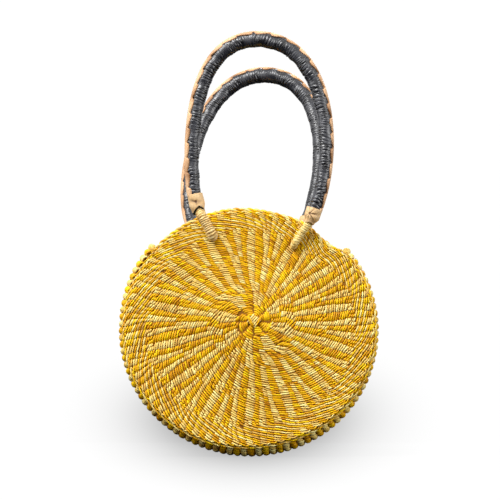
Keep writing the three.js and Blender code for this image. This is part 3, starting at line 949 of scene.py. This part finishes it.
@dataclass
class Band(Weave):
    """The twined side band between the discs, with a rolled binding over each end."""

    seed: int = 31
    edge_radius: float = 137.0
    swelling: float = 5.2
    wall: float = 6.5
    half_width: float = 41.7
    start: float = radians(140.0)
    sweep: float = radians(258.5)
    bulge_sweep: float = radians(40.0)
    left_bulge: float = 3.6  # how far the band stands out further at its left end
    right_draw: float = 3.0  # how far its right side is drawn in
    bottom_lift: float = 3.2  # how much its edges turn in further, to meet the discs' lifted edges
    floor_gap: float = 0.15  # under the crests of the flat bottom
    rows: int = 29
    columns: int = 80
    row_pitch: float = 2.88
    crest: float = 0.4
    stray_along: float = 0.04  # how far stitches stray by chance, as a share of their spacing
    stray_across: float = 0.1  # the same across the rows, in millimetres
    stake_inset: float = 1.7  # from either face to the stakes
    binding_radius: float = 4.0
    binding_lift: float = 3.3
    ridge_pitch: float = 3.1  # between the windings of a binding
    ridge_height: float = 0.55
    ridge_sink: float = 0.35  # how far the winding's grooves lie inside the binding's radius

    def __post_init__(self) -> None:
        """Seeds the band's own random numbers."""
        self.rng = np.random.default_rng(self.seed)

    def surface(self, angle: Array, depth: Array) -> Array:
        """Outer radius: swelling times one minus the eighth power of the share, flat underneath.

        The last part before the left end bulges out by a smooth step, the right side is drawn in by the
        fourth power of the cosine, and the edges turn in further at the bottom.

        Args:
            angle: Angles about the discs' middle.
            depth: Distances from the bag's middle.

        Returns:
            The radii.
        """
        share = np.clip(depth / self.half_width, -1.0, 1.0)
        bulge = self.left_bulge * smooth((self.start + self.bulge_sweep - angle) / self.bulge_sweep)
        drawn = self.right_draw * np.maximum(np.cos(angle), 0.0) ** 4
        lift = self.bottom_lift * lifted(angle)
        free = self.edge_radius - lift + (self.swelling + lift - drawn) * (1.0 - share**8) + bulge
        down = np.maximum(-np.sin(angle), 0.2)
        return np.minimum(free, (CENTRE_HEIGHT - self.crest - self.floor_gap) / down)

    def layout(self) -> Stitches:
        """Rows side by side from disc to disc, whose strands take turns from stake to stake."""
        depth = ((np.arange(self.rows) - (self.rows - 1) / 2.0) * self.row_pitch)[:, None]
        step = self.sweep / self.columns
        index = np.arange(self.columns)
        shape = (self.rows, self.columns)
        angle = self.start + (index + 0.5) * step + self.rng.normal(0.0, self.stray_along, shape) * step
        row = depth + self.rng.normal(0.0, self.stray_across, shape)
        radius = self.surface(angle, depth)
        parts = np.broadcast_arrays(angle, row, radius, radius * step, index % 2)
        return Stitches(*(part.ravel() for part in parts))

    def laid(self, angle: Array, row: Array, height: Array, inner: bool) -> Array:
        """Points of strands above the band's outer or inner face."""
        depth = np.clip(row, -self.half_width, self.half_width)
        above = height + self.crest
        above = -self.wall - above if inner else above
        return oval(self.surface(angle, depth) + above, angle, depth)

    def backing(self) -> Shape:
        """The stakes between the two faces: a closed outline carried round the arc; their dark finish is
        painted shade for the gaps between stitches.
        """
        share = np.linspace(-1.0, 1.0, 15)
        depth = np.concatenate([share, share[::-1]]) * (self.half_width - 1.0)
        inset = np.repeat([self.stake_inset, self.wall - self.stake_inset], len(share))
        angle = (self.start + self.sweep * np.linspace(0.0, 1.0, 120))[:, None]
        points = oval(self.surface(angle, depth) - inset, angle, depth)
        return tubes(points, stacked(140.0 * angle, depth, 0.4))

    def binding(self, angle: float, away: float) -> Shape:
        """A roll of straw over one end: a tube from disc to disc, ribbed by the winding.

        Args:
            angle: The end's angle about the discs' middle.
            away: 1 or -1, the way off the band along the arc.

        Returns:
            The roll.
        """
        depth = np.linspace(-1.0, 1.0, 170) * (self.half_width - 1.2)
        middle = oval(self.surface(np.array(angle), depth) - self.wall / 2.0, angle, depth)
        tangent = spoke(angle + pi / 2.0)
        winding = depth[:, None] / self.ridge_pitch + ring_angles(20) / FULL_TURN
        ridge = np.abs(np.sin(pi * winding)) ** 0.7
        ends = np.sqrt(np.clip((self.half_width - 1.0 - np.abs(depth)) / 2.0, 0.05, 1.0))
        radius = self.binding_radius - self.ridge_sink + self.ridge_height * ridge
        tone = np.clip(0.5 + 0.35 * np.sin(2.1 * np.floor(winding)), 0.0, 1.0)
        centre = middle + tangent * away * self.binding_lift
        return round_tube(centre, spoke(angle), tangent, radius * ends[:, None], tone)

    def build(self) -> None:
        """Makes the band's pieces."""
        stitches = self.layout()
        for dye in Dye:
            own, other = stitches.by_dye(dye)
            outside = self.woven(own, BAND_STITCH)
            inside = self.woven(other, INNER_STITCH, inner=True)
            place(f"gusset_{dye.label}", outside, STRAW_OF_DYE[dye], "bag", ["gusset"])
            place(f"gusset_inside_{dye.label}", inside, STRAW_OF_DYE[dye], "bag", ["gusset"])
        # the stakes' dark finish is painted shade between the stitches
        place("gusset_stakes", self.backing(), SHADED_STAKE_STRAW, "bag", ["gusset"])
        for hand, angle in ((Hand.LEFT, self.start), (Hand.RIGHT, self.start + self.sweep)):
            node = f"gusset_{hand.label}_end_binding"
            place(f"{node}_straw", self.binding(angle, hand.value), NATURAL_STRAW, "bag", [node])


# Handles

@dataclass(frozen=True)
class End:
    """One end of a handle, with the loop that carries it; heights are from the swing point."""

    angle: float  # of the swing point about the discs' middle
    hole_angle: float  # of the hole in the disc that the loop passes through
    hole: float  # radius of the loop's lowest point, in the hole
    pivot_radius: float  # radius of the swing point
    standoff: float  # how far the swing point lies outside the disc's middle plane
    splay: float  # how far the cap leans sideways from upright
    cord_radius: float  # of the wound cord on the loop's outer leg
    rib_pitch: float  # distance between the ribs of the loop's winding
    rib_depth: float  # depth of these ribs, as a share of the cord's radius
    straw: StrawFinish  # finish of the loop
    mouth_low: float  # height of the cap's lower edge
    mouth_cut: float  # how far that edge rises to a point on the outer side
    mouth_turn: float  # where that point is, round from the outside of the arch
    cap_top: float  # height of the cap's upper edge
    narrowing: float  # how much smaller the cap's radius is at its mouth
    tuck_turn: float  # where the tuck in the cap's leather sits, round from the outside of the arch
    tuck_height: float
    folds: int  # number of folds that run out from the tuck
    fold_depth: float
    lined: bool  # whether a black edge shows under the mouth


@dataclass(frozen=True)
class Arch:
    """A handle's middle line and the width of its strip; pairs are for the left and the right half."""

    rise: float  # how far the crown stands above the swing axis
    crown_shift: float  # how far it stands right of the bag's middle
    lean: float  # how far the handle is turned outward from upright
    foot_pulls: tuple[float, float]  # how long the tube keeps its direction at the feet
    crown_pulls: tuple[float, float]  # the same at the crown
    swell: float  # how much thicker the tube is at the crown than at its feet
    strip: tuple[float, ...]  # half angles of the laced strip in degrees, at the strip places of Handle


HIGH_END = End(
    angle=radians(112.8), hole_angle=radians(111.2), hole=110.5, pivot_radius=150.4, standoff=0.0,
    splay=radians(12.0), cord_radius=5.7, rib_pitch=2.35, rib_depth=0.32, straw=LOOP_STRAW,
    mouth_low=-6.6, mouth_cut=6.4, mouth_turn=radians(106.0), cap_top=14.0, narrowing=1.5,
    tuck_turn=radians(88.0), tuck_height=5.0, folds=3, fold_depth=0.42, lined=True,
)
LOW_END = End(
    angle=radians(60.2), hole_angle=radians(61.6), hole=105.0, pivot_radius=141.0, standoff=14.2,
    splay=radians(20.0), cord_radius=4.1, rib_pitch=2.45, rib_depth=0.18, straw=SMOOTH_LOOP_STRAW,
    mouth_low=-6.2, mouth_cut=1.6, mouth_turn=radians(90.0), cap_top=11.8, narrowing=3.7,
    tuck_turn=radians(112.0), tuck_height=4.2, folds=7, fold_depth=0.8, lined=False,
)
ENDS = {
    Side.FRONT: {Hand.LEFT: HIGH_END, Hand.RIGHT: LOW_END},
    Side.BACK: {
        Hand.LEFT: replace(LOW_END, angle=radians(119.3), hole_angle=radians(119.3)),
        Hand.RIGHT: replace(LOW_END, angle=radians(64.1), hole_angle=radians(64.1), splay=radians(18.0)),
    },
}
FRONT_STRIP = (70.0, 66.0, 60.0, 48.0, 40.0)
BACK_STRIP = (48.0, 56.0, 65.0, 60.0, 46.0)
ARCHES = {
    Side.FRONT: Arch(195.6, 9.7, radians(3.0), (15.0, 76.0), (85.5, 77.7), 1.0, FRONT_STRIP),
    Side.BACK: Arch(203.3, 12.0, radians(13.0), (48.0, 98.0), (81.0, 66.0), 1.8, BACK_STRIP),
}


def wound(along: Array, turn: Array, pitch: float, depth: float) -> tuple[Array, Array]:
    """Ribs of a cord wound with straw.

    Args:
        along: Way along the cord, as a column.
        turn: Angle round it, as a row.
        pitch: Distance between ribs.
        depth: Their depth, as a share of the cord's radius.

    Returns:
        A factor for the radius, from a power of the sine of the winding's phase, and each rib's tone,
        darkened in the grooves as painted shade.
    """
    phase = along / pitch + turn / FULL_TURN
    rib = np.abs(np.sin(pi * phase)) ** 0.8
    # painted shade: the tone is darker in the grooves between the ribs
    shade = 1.0 - min(3.4 * depth, 0.9) * (1.0 - rib)
    tone = np.clip((0.62 + 0.25 * np.sin(2.4 * np.floor(phase))) * shade, 0.0, 1.0)
    return 1.04 - depth * (1.0 - rib), tone


@dataclass
class Handle:
    """An arched handle: black leather tube, laced tan strip, a tan cap on each end and its straw loop."""

    side: Side
    seed: int
    tube_start: float = 5.8  # height of the tube's ends above the swing points
    straight: float = 15.0  # height up to which they are straight
    sleeve_radius: float = 7.1
    crease_depth: float = 0.95
    crease_width: float = 0.5  # how near to zero the fine waves are in a crease
    fine_waves: tuple[float, float] = (3.6, 11.0)
    broad_waves: tuple[float, float] = (14.0, 50.0)
    strip_places: tuple[float, ...] = (0.0, 0.12, 0.42, 0.6, 1.0)  # shares of the way along the tube
    strip_height: float = 1.6
    strip_pitch: float = 16.6
    strip_turn: float = 0.48  # share of the way at which the teeth change their direction
    strip_tuck: float = 1.5  # how far the strip's ends lie under the caps
    tooth_growth: float = 0.6  # share of a tooth on which it grows
    tooth_drop: tuple[float, float] = (0.86, 0.12)  # where its drop begins, and the drop's length
    drop_depths: tuple[float, float] = (0.32, 0.5)  # of the drops, and what the right leg's have more
    drop_change: tuple[float, float] = (0.4, 0.14)  # where on the way they change, and how long
    cap_radius: float = 8.9
    cap_waves: tuple[float, float] = (7.0, 22.0)
    cap_steps: int = 64
    cup_start: float = 2.5  # height at which a cap begins to narrow
    cup_length: float = 9.0  # and the way down on which it does
    tuck_depth: float = 1.3
    tuck_width: float = 1.15
    fold_start: float = 1.4  # distance from the tuck at which its folds set in
    fold_reach: float = 8.0
    cap_sag: float = 0.16  # height of a cap's waves
    mouth_reach: float = radians(80.0)  # how far round the rising part of a cap's mouth reaches
    loop_half_width: float = 8.2
    loop_high_centre: float = 134.1
    loop_thin_radius: float = 3.2  # from the loop's upper bend to the end of its inner leg
    neck_start: float = 14.0  # how far above the hole the neck leaves the loop
    neck_pull: float = 23.0  # how far above it the neck still follows the loop
    neck_reach: tuple[float, float] = (-9.0, 5.0)  # from there it follows the cap's axis, up to its end
    neck_bend: tuple[float, float] = (-9.0, 2.0)  # heights of the neck's points about the swing point, which are passed to place
    cap_bend: tuple[float, float] = (-6.0, 5.0)  # the same for cap and lining
    cord_sides: int = 22
    rings: int = 1000
    sides: int = 40

    def __post_init__(self) -> None:
        """Works out the swing axis and the tube's middle line."""
        self.rng = np.random.default_rng(self.seed)
        self.ends, self.arch = ENDS[self.side], ARCHES[self.side]
        self.out = np.array([0.0, self.side.value, 0.0])
        self.body = f"{self.side.label}_handle"
        pivots = {
            hand: polar(end.pivot_radius, end.angle, self.side.value * (DISC_PLANE + end.standoff))
            for hand, end in self.ends.items()
        }
        self.middle = (pivots[Hand.LEFT] + pivots[Hand.RIGHT]) / 2.0
        self.axis = unit(pivots[Hand.RIGHT] - pivots[Hand.LEFT])
        self.feet = {hand: point - self.middle for hand, point in pivots.items()}
        self.headings = {
            hand: np.array([hand.value * sin(end.splay), 0.0, cos(end.splay)])
            for hand, end in self.ends.items()
        }
        self.centre = self.even_path()
        tangent = np.gradient(self.centre, axis=0)
        self.away = unit(stacked(-tangent[:, 2], 0.0, tangent[:, 0]))
        self.along = arc_length(self.centre)
        self.share = self.along / self.along[-1]
        self.thickness = self.sleeve_radius + self.arch.swell * np.sin(pi * self.share) ** 2

    def even_path(self) -> Array:
        """The middle line in evenly spaced points: two straight feet and two cubic curves to the crown."""
        crown = np.array([self.arch.crown_shift - self.middle[0], 0.0, self.arch.rise])
        halves = []
        for hand, foot_pull, crown_pull in zip(Hand, self.arch.foot_pulls, self.arch.crown_pulls):
            foot, heading = self.feet[hand], self.headings[hand]
            bend = foot + heading * self.straight
            beside_crown = crown + np.array([hand.value * crown_pull, 0.0, 0.0])
            rising = curve(bend, bend + heading * foot_pull, beside_crown, crown, 400)
            halves.append(np.concatenate([[foot + heading * self.tube_start], rising]))
        path = np.concatenate([halves[0], halves[1][-2::-1]])
        length = arc_length(path)
        even = np.linspace(0.0, length[-1], self.rings)
        return stacked(*(np.interp(even, length, path[:, axis]) for axis in range(3)))

    def leaned(self, points: Array) -> Array:
        """Turns upright points about the swing axis to the handle's lean and puts them in place."""
        angle = -self.side.value * self.arch.lean
        cross = np.cross(np.broadcast_to(self.axis, points.shape), points)
        dot = (points @ self.axis)[..., None] * self.axis
        return points * cos(angle) + cross * sin(angle) + dot * (1.0 - cos(angle)) + self.middle

    def on_axis(self, hand: Hand, height: float) -> Array:
        """The point on a cap's axis at a height from the swing point."""
        return self.leaned(self.feet[hand] + height * self.headings[hand])

    def sleeve(self) -> Shape:
        """The leather tube, whose radius dips in creases where an uneven wave field is near zero.

        The creases run across the tube, and a broad wave makes them deep in some places and shallow
        in others.
        """
        turn, along = ring_angles(self.sides), self.along[:, None]
        fine = waves(along, turn, self.rng, self.fine_waves)
        broad = waves(along, turn, self.rng, self.broad_waves)
        crease = bell(fine, self.crease_width) * np.clip(0.6 + 0.4 * broad, 0.15, 1.3)
        relief = 0.3 - self.crease_depth * crease + 0.34 * broad
        radius = self.thickness[:, None] + np.clip(relief, -0.95, 0.6)
        # painted shade: the tone is darker in the creases
        tone = np.clip(0.78 - 0.6 * crease, 0.0, 1.0)
        shape = round_tube(self.centre, self.away, self.out, radius, tone)
        shape.points = self.leaned(shape.points)
        return shape.outward()

    def strip(self) -> Shape:
        """The laced strip on the outside of the arch, with a saw-toothed edge.

        Its half angle grows along each tooth towards the crown and drops at the next. The drops are
        shallow on the left leg and reach almost through the strip on the right one. The section is a
        low closed arch.
        """
        left, right = (self.ends[hand].cap_top - self.strip_tuck - self.tube_start for hand in Hand)
        keep = (self.along >= left) & (self.along <= self.along[-1] - right)
        along, share = self.along[keep], self.share[keep]
        across = np.linspace(-1.0, 1.0, 15)
        inner = across[::-1][1:-1]
        side_share = np.concatenate([across, inner])
        bow = self.strip_height * (1.0 - np.abs(across) ** 7)
        lift = np.concatenate([bow, np.full(len(inner), -0.9)])
        wide = np.radians(np.interp(share, self.strip_places, self.arch.strip))
        change_at, change_length = self.drop_change
        shallow, more = self.drop_depths
        deep = shallow + more * smooth((share - change_at) / change_length)
        drop_at, drop_length = self.tooth_drop
        edges = []
        for phase in (0.0, 0.5):
            count = along / self.strip_pitch + phase
            middle = (np.floor(count) + 0.5 - phase) * self.strip_pitch
            tooth = np.where(middle > self.strip_turn * self.along[-1], -count, count) % 1.0
            grow = np.minimum(tooth / self.tooth_growth, 1.0) ** 0.7
            drop = 1.0 - smooth((tooth - drop_at) / drop_length)
            edges.append((wide * (1.0 - deep * (1.0 - grow * drop)))[:, None])
        turn = side_share * np.where(side_share > 0.0, *edges)
        radius = self.thickness[keep][:, None] + 0.3 + lift
        ways = np.cos(turn)[..., None] * self.away[keep][:, None] + np.sin(turn)[..., None] * self.out
        upright = self.centre[keep][:, None] + radius[..., None] * ways
        # the tone is darker towards the strip's edges, where its section rolls down
        tone = 0.55 + 0.2 * np.sin(along / 7.0)[:, None] - 0.3 * np.abs(side_share) ** 6
        return tubes(self.leaned(upright), stacked(along[:, None], 8.0 * turn, tone))

    def mouth_edge(self, end: End, turn: Array) -> Array:
        """Height of a cap's lower edge: level behind, and rising straight to a point on the outer side."""
        gap = np.abs(off_from(turn, end.mouth_turn))
        return end.mouth_low + end.mouth_cut * np.clip(1.0 - gap / self.mouth_reach, 0.0, 1.0)

    def cup(self, hand: Hand, turn: Array, height: Array, inset: Array, tone: Array | float) -> Shape:
        """A closed ring of leather about a cap's axis, which narrows by a smooth step towards the mouth.

        Args:
            hand: The handle's end.
            turn: Angles round the axis, as a column.
            height: Heights from the swing point, a row for each angle.
            inset: How far the points lie inside the cup's surface.
            tone: From 0 to 1.

        Returns:
            The ring.
        """
        heading = self.headings[hand]
        narrowed = self.ends[hand].narrowing * smooth((self.cup_start - height) / self.cup_length)
        radius = self.cap_radius - narrowed - inset
        away = hand.value * np.array([heading[2], 0.0, -heading[0]])
        spread = np.cos(turn)[..., None] * away + np.sin(turn)[..., None] * self.out
        upright = self.feet[hand] + height[..., None] * heading + radius[..., None] * spread
        return tubes(self.leaned(upright), stacked(height, 8.0 * turn, tone), ring_closed=True)

    def cap(self, hand: Hand) -> Shape:
        """A leather cap, whose wall goes up outside, over the lip and down inside.

        The leather dips in a tuck, and in folds that run out from it: a power of the sine of the
        bearing, times a bell of the distance.

        Args:
            hand: The handle's end.

        Returns:
            The cap.
        """
        end = self.ends[hand]
        turn = ring_angles(120)[:, None]
        edge = self.mouth_edge(end, turn)
        outside = edge + (end.cap_top - 0.5 - edge) * np.linspace(0.0, 1.0, self.cap_steps)
        lip = np.broadcast_to(np.array([-0.15, 0.0, -0.2]) + end.cap_top, (len(turn), 3))
        inside = outside[:, ::-3]
        height = np.concatenate([outside, lip, inside], axis=1)
        wall = np.concatenate([np.zeros(self.cap_steps), [0.15, 0.6, 1.0], np.full(inside.shape[1], 1.15)])
        beside = self.cap_radius * off_from(turn, end.tuck_turn)
        above = height - end.tuck_height
        distance, bearing = np.hypot(beside, above), np.arctan2(above, beside)
        fold = np.abs(np.sin(0.5 * end.folds * bearing + 0.6)) ** 6 * (0.65 - 0.35 * np.cos(bearing))
        near = bell(distance, self.fold_reach) * (1.0 - bell(distance, self.fold_start))
        folds = end.fold_depth * fold * near
        tuck = self.tuck_depth * bell(distance, self.tuck_width)
        sag = self.cap_sag * waves(height, turn, self.rng, self.cap_waves)
        outer = np.arange(height.shape[1]) < self.cap_steps + 2
        dip = np.where(outer, np.clip(folds + tuck - sag, -0.2, 1.0), 0.0)
        # painted shade: the tone is darker in the tuck and its folds; painted light: lighter where the
        # leather bulges out
        tone = np.clip(0.62 - 0.95 * folds - 0.75 * tuck + 0.6 * sag, 0.0, 1.0)
        return self.cup(hand, turn, height, wall + dip, tone)

    def lining(self, hand: Hand) -> Shape:
        """The black leather edge that shows under a cap's mouth: a thin ring that follows the edge."""
        turn = ring_angles(72)[:, None]
        height = self.mouth_edge(self.ends[hand], turn) + np.array([-2.2, 0.3, 2.5, 2.5, 0.3, -2.2])
        return self.cup(hand, turn, height, np.array([0.5, 0.4, 1.2, 2.2, 2.2, 2.2]), 0.3)

    def loop_at(self, end: End, radius: Array | float, out: Array | float) -> Array:
        """Points on a loop, whose angle goes evenly from the hole's to the swing point's.

        Args:
            end: The handle's end.
            radius: Distances from the disc's middle.
            out: Distances from the disc's middle plane.

        Returns:
            The points.
        """
        share = (radius - end.hole) / (self.loop_high_centre + self.loop_half_width - end.hole)
        angle = end.hole_angle + (end.angle - end.hole_angle) * share
        return polar(radius, angle, self.side.value * (DISC_PLANE + out))

    def loop(self, end: End) -> Shape:
        """The loop: up the outer leg, over the edge, down the inner leg and back through the hole.

        The section's radius follows the leg or bend it is on, times the ribs of its winding.

        Args:
            end: The handle's end.

        Returns:
            The loop, a closed ring.
        """
        width = self.loop_half_width
        low_centre = end.hole + width
        leg, bend = self.loop_high_centre - low_centre, pi * width
        total = 2.0 * (leg + bend)
        along = np.linspace(0.0, total, 320, endpoint=False)
        heading = np.clip((along - leg) / width, 0.0, pi)
        heading = heading + np.clip((along - 2.0 * leg - bend) / width, 0.0, pi)
        up = np.clip(along, 0.0, leg) - np.clip(along - leg - bend, 0.0, leg)
        centre = self.loop_at(end, low_centre + up + width * np.sin(heading), width * np.cos(heading))
        across = np.cos(heading)[:, None] * self.out + np.sin(heading)[:, None] * spoke(end.angle)
        thick, thin = end.cord_radius, self.loop_thin_radius
        places = [0.0, leg, leg + 0.5 * bend, total - 0.6 * bend, total - 0.3 * bend]
        pitch = total / round(total / end.rib_pitch)
        ribs, tone = wound(along[:, None], ring_angles(self.cord_sides), pitch, end.rib_depth)
        section = np.interp(along, places, [thick, thick, thin, thin, thick])[:, None] * ribs
        return round_tube(centre, across, spoke(end.angle + pi / 2.0), section, tone, ring_closed=True)

    def neck(self, hand: Hand) -> Shape:
        """The wound cord from the loop's outer leg into the cap, along a cubic curve.

        Args:
            hand: The handle's end.

        Returns:
            The cord, thinner where it leaves the loop.
        """
        end, rings = self.ends[hand], 120
        start = self.loop_at(end, end.hole + self.neck_start, self.loop_half_width)
        towards = 0.6 * self.loop_half_width + 0.4 * end.standoff
        after = self.loop_at(end, end.hole + self.neck_pull, towards)
        centre = curve(start, after, *(self.on_axis(hand, height) for height in self.neck_reach), rings)
        tangent = unit(np.gradient(centre, axis=0))
        side_on = unit(np.cross(tangent, self.out))
        along = arc_length(centre)[:, None]
        ribs, tone = wound(along, ring_angles(self.cord_sides), end.rib_pitch, end.rib_depth)
        foot = 0.6 + 0.4 * smooth(np.linspace(0.0, 1.0, rings) / 0.2)
        section = end.cord_radius * foot[:, None] * ribs
        return round_tube(centre, side_on, np.cross(side_on, tangent), section, tone)

    def build_end(self, hand: Hand) -> None:
        """Makes an end's loop, cord, cap and lining; the loop moves with the bag, and the others are left
        unattached, with points about the swing point.
        """
        end = self.ends[hand]
        label = f"{self.side.label}_{hand.label}"
        loop, cap = f"{label}_loop", f"{label}_cap"
        neck_bend = [self.on_axis(hand, height) for height in self.neck_bend]
        cap_bend = [self.on_axis(hand, height) for height in self.cap_bend]
        place(f"{loop}_wound", self.loop(end), end.straw, "bag", [loop, f"{loop}_wrap"])
        place(f"{loop}_neck", self.neck(hand), end.straw, self.body, [], neck_bend)
        place(f"{cap}_tucked", self.cap(hand), TAN_LEATHER, self.body, [cap], cap_bend)
        if end.lined:
            place(f"{cap}_lining", self.lining(hand), BLACK_LEATHER, self.body, [], cap_bend)

    def build(self) -> None:
        """Makes the handle's pieces."""
        sleeve, core, lacing = (f"{self.body}_{part}" for part in ("sleeve", "core", "lacing"))
        place(f"{sleeve}_creased", self.sleeve(), BLACK_LEATHER, self.body, [sleeve, core])
        place(f"{lacing}_toothed", self.strip(), LACE_LEATHER, self.body, [lacing])
        for hand in Hand:
            self.build_end(hand)


# Studio

@dataclass
class Studio:
    """A white floor and background, soft lamps and the camera, in metres."""

    camera_at: Point = (0.070, -1.645, 0.0626)
    aim: Point = (0.0011, -0.045, 0.2312)
    lamp_aim: Point = (0.0, 0.0, 0.2)
    lens: float = 103.0
    ambient: float = 0.36
    floor_size: float = 26.0
    backdrop_at: float = 0.5
    shade_start: tuple[float, float] = (-1.2, -0.8)  # depths between which the shade sets in
    shade_fade: float = 0.4  # how far behind the backdrop it has ended
    shade_middle: tuple[float, float] = (-0.0031, 0.0444)  # right and up, as is its reach
    shade_reach: tuple[float, float] = (0.108, 0.0507)
    shade_depth: float = 1.035
    darkest: float = 0.44
    lamps: tuple[tuple[str, Point, float, float], ...] = (  # name, place, side and power in watts
        ("key_lamp", (-1.0, -1.35, 1.9), 1.3, 74.0),
        ("right_fill_lamp", (1.9, -1.1, 0.7), 1.4, 27.0),
        ("left_fill_lamp", (-2.0, -0.7, 0.3), 1.2, 13.0),
        ("back_lamp", (0.4, 1.6, 1.6), 1.2, 26.0),
    )

    def stood(self, data: bpy.types.ID, at: Point, target: Point) -> bpy.types.Object:
        """Puts a camera or lamp at its place and turns it to look at a point.

        Args:
            data: The camera or lamp.
            at: Its place.
            target: The point.

        Returns:
            Its object.
        """
        thing = bpy.data.objects.new(data.name, data)
        thing.location = at
        thing.rotation_euler = (Vector(at) - Vector(target)).to_track_quat("Z", "Y").to_euler()
        bpy.context.scene.collection.objects.link(thing)
        return thing

    def camera(self) -> None:
        """Sets up the camera."""
        data = bpy.data.cameras.new("camera")
        data.lens = self.lens
        data.sensor_width = 36.0
        data.clip_end = 60.0
        bpy.context.scene.camera = self.stood(data, self.camera_at, self.aim)

    def light(self) -> None:
        """Adds the soft area lamps, which look at the purse."""
        for name, at, size, power in self.lamps:
            data = bpy.data.lights.new(name, "AREA")
            data.size = size
            data.energy = power
            self.stood(data, at, self.lamp_aim)

    def shaded(self, tree: Tree) -> Socket:
        """Glow of the white paper for the camera, dimmed by a painted soft shadow round the purse's foot.

        Points are drawn towards the camera into the upright plane through the purse's middle, and the
        shade there is a bell of the distance from its middle, longer across than upward. It ends by
        smooth steps well before the purse and behind the backdrop.

        Args:
            tree: The node tree to add to.

        Returns:
            The glow.
        """
        spot = add_node(tree, "SeparateXYZ", {0: add_node(tree, "TexCoord", {})["Object"]})
        value = {axis: spot[axis] for axis in "XYZ"}
        value["camera"] = add_node(tree, "LightPath", {})["Is Camera Ray"]
        fade = (self.backdrop_at, self.backdrop_at + self.shade_fade)
        for name, (start, end) in (("begun", self.shade_start), ("ended", fade)):
            span = {"Value": spot["Y"], 1: start, 2: end}
            value[name] = add_node(tree, "MapRange", span, interpolation_type="SMOOTHSTEP")[0]
        distance = -self.camera_at[1]
        steps = [("depth", "ADD", "Y", distance), ("near", "DIVIDE", distance, "depth")]
        eyes = (self.camera_at[0], self.camera_at[2])
        for axis, eye, middle, reach in zip("XZ", eyes, self.shade_middle, self.shade_reach):
            steps += [
                (axis, "SUBTRACT", axis, eye),
                (axis, "MULTIPLY", axis, "near"),
                (axis, "ADD", axis, eye - middle),
                (axis, "DIVIDE", axis, reach),
                (axis, "MULTIPLY", axis, axis),
            ]
        steps += [
            ("apart", "ADD", "X", "Z"),
            ("apart", "MULTIPLY", "apart", -1.0),
            ("shade", "EXPONENT", "apart", 0.0),
            ("span", "SUBTRACT", "begun", "ended"),
            ("shade", "MULTIPLY", "shade", "span"),
            ("shade", "MULTIPLY", "shade", self.shade_depth),
            ("glow", "SUBTRACT", 1.0, "shade"),
            ("glow", "SMOOTH_MAX", "glow", self.darkest),
            ("glow", "MULTIPLY", "glow", "camera"),
        ]
        for name, how, first, second in steps:
            # Only the smooth maximum uses the third input, as the width of its rounding.
            inputs = {0: value.get(first, first), 1: value.get(second, second), 2: self.darkest / 2.0}
            value[name] = add_node(tree, "Math", inputs, operation=how)[0]
        return value["glow"]

    def sheet(self, name: str, corners: Sequence[Point], alpha: bool) -> None:
        """Adds a sheet of white paper.

        Args:
            name: Its name.
            corners: Its four corners.
            alpha: Whether only a camera before it sees it, so that it blocks no light and no other view.
        """
        mesh = bpy.data.meshes.new(name)
        mesh.from_pydata(corners, [], [(0, 1, 2, 3)])
        sheet = bpy.data.objects.new(name, mesh)
        bpy.context.scene.collection.objects.link(sheet)
        material, tree, shader = fresh_material(f"{name}_white_paper")
        # painted shadow: the paper's glow for the camera is dimmed round the purse's foot
        inputs = {
            "Base Color": linear("#262626"),
            "Roughness": 0.9,
            "Specular IOR Level": 0.0,
            "Emission Color": linear("#FFFFFF"),
            "Emission Strength": self.shaded(tree),
        }
        if alpha:
            camera = add_node(tree, "LightPath", {})["Is Camera Ray"]
            behind = add_node(tree, "NewGeometry", {})["Backfacing"]
            seen = add_node(tree, "Math", {0: camera, 1: behind}, operation="SUBTRACT", use_clamp=True)
            inputs["Alpha"] = seen[0]
        set_inputs(tree, shader, inputs)
        mesh.materials.append(material)

    def paper(self) -> None:
        """A floor, and a backdrop behind the purse."""
        half, back = self.floor_size / 2.0, self.backdrop_at
        level = [(-half, -half, 0.0), (half, -half, 0.0), (half, half, 0.0), (-half, half, 0.0)]
        upright = [(-half, back, 0.0), (half, back, 0.0), (half, back, half), (-half, back, half)]
        self.sheet("floor", level, False)
        self.sheet("backdrop", upright, True)

    def world(self) -> None:
        """White for what is seen directly, in gloss or through glass, and a plain even light otherwise."""
        world = bpy.data.worlds.new("white_studio")
        bpy.context.scene.world = world
        world.use_nodes = True
        tree = world.node_tree
        rays = add_node(tree, "LightPath", {})
        seen = rays["Is Camera Ray"]
        for kind in ("Is Transmission Ray", "Is Glossy Ray"):
            seen = add_node(tree, "Math", {0: seen, 1: rays[kind]}, operation="MAXIMUM")[0]
        strength = add_node(tree, "MapRange", {"Value": seen, 3: self.ambient, 4: 1.0})["Result"]
        set_inputs(tree, tree.nodes["Background"], {"Color": linear("#FFFFFF"), "Strength": strength})

    def build(self) -> None:
        """Sets up the studio."""
        self.camera()
        self.paper()
        self.world()
        self.light()
        bpy.context.scene.view_settings.view_transform = "Standard"


def main() -> None:
    """Builds the studio and the purse, piece by piece."""
    logging.basicConfig(level=logging.INFO, format="%(message)s")
    Studio().build()
    band = Band()
    band.build()
    for side, seed in ((Side.FRONT, 11), (Side.BACK, 23)):
        Disc(side, seed).build()
        rng = np.random.default_rng(seed + 1)
        border, lashing = f"{side.label}_mouth_border", f"{side.label}_seam_lashing"
        RimCord(side, border, 135.6, 45.6, MOUTH_START, MOUTH_SWEEP, 1.6, 0.95, 15.0).build(rng)
        RimCord(side, lashing, 135.3, 44.4, band.start, band.sweep, 0.95, 0.7, 15.6).build(rng)
        Handle(side, seed + 2).build()


if __name__ == "__main__":
    main()
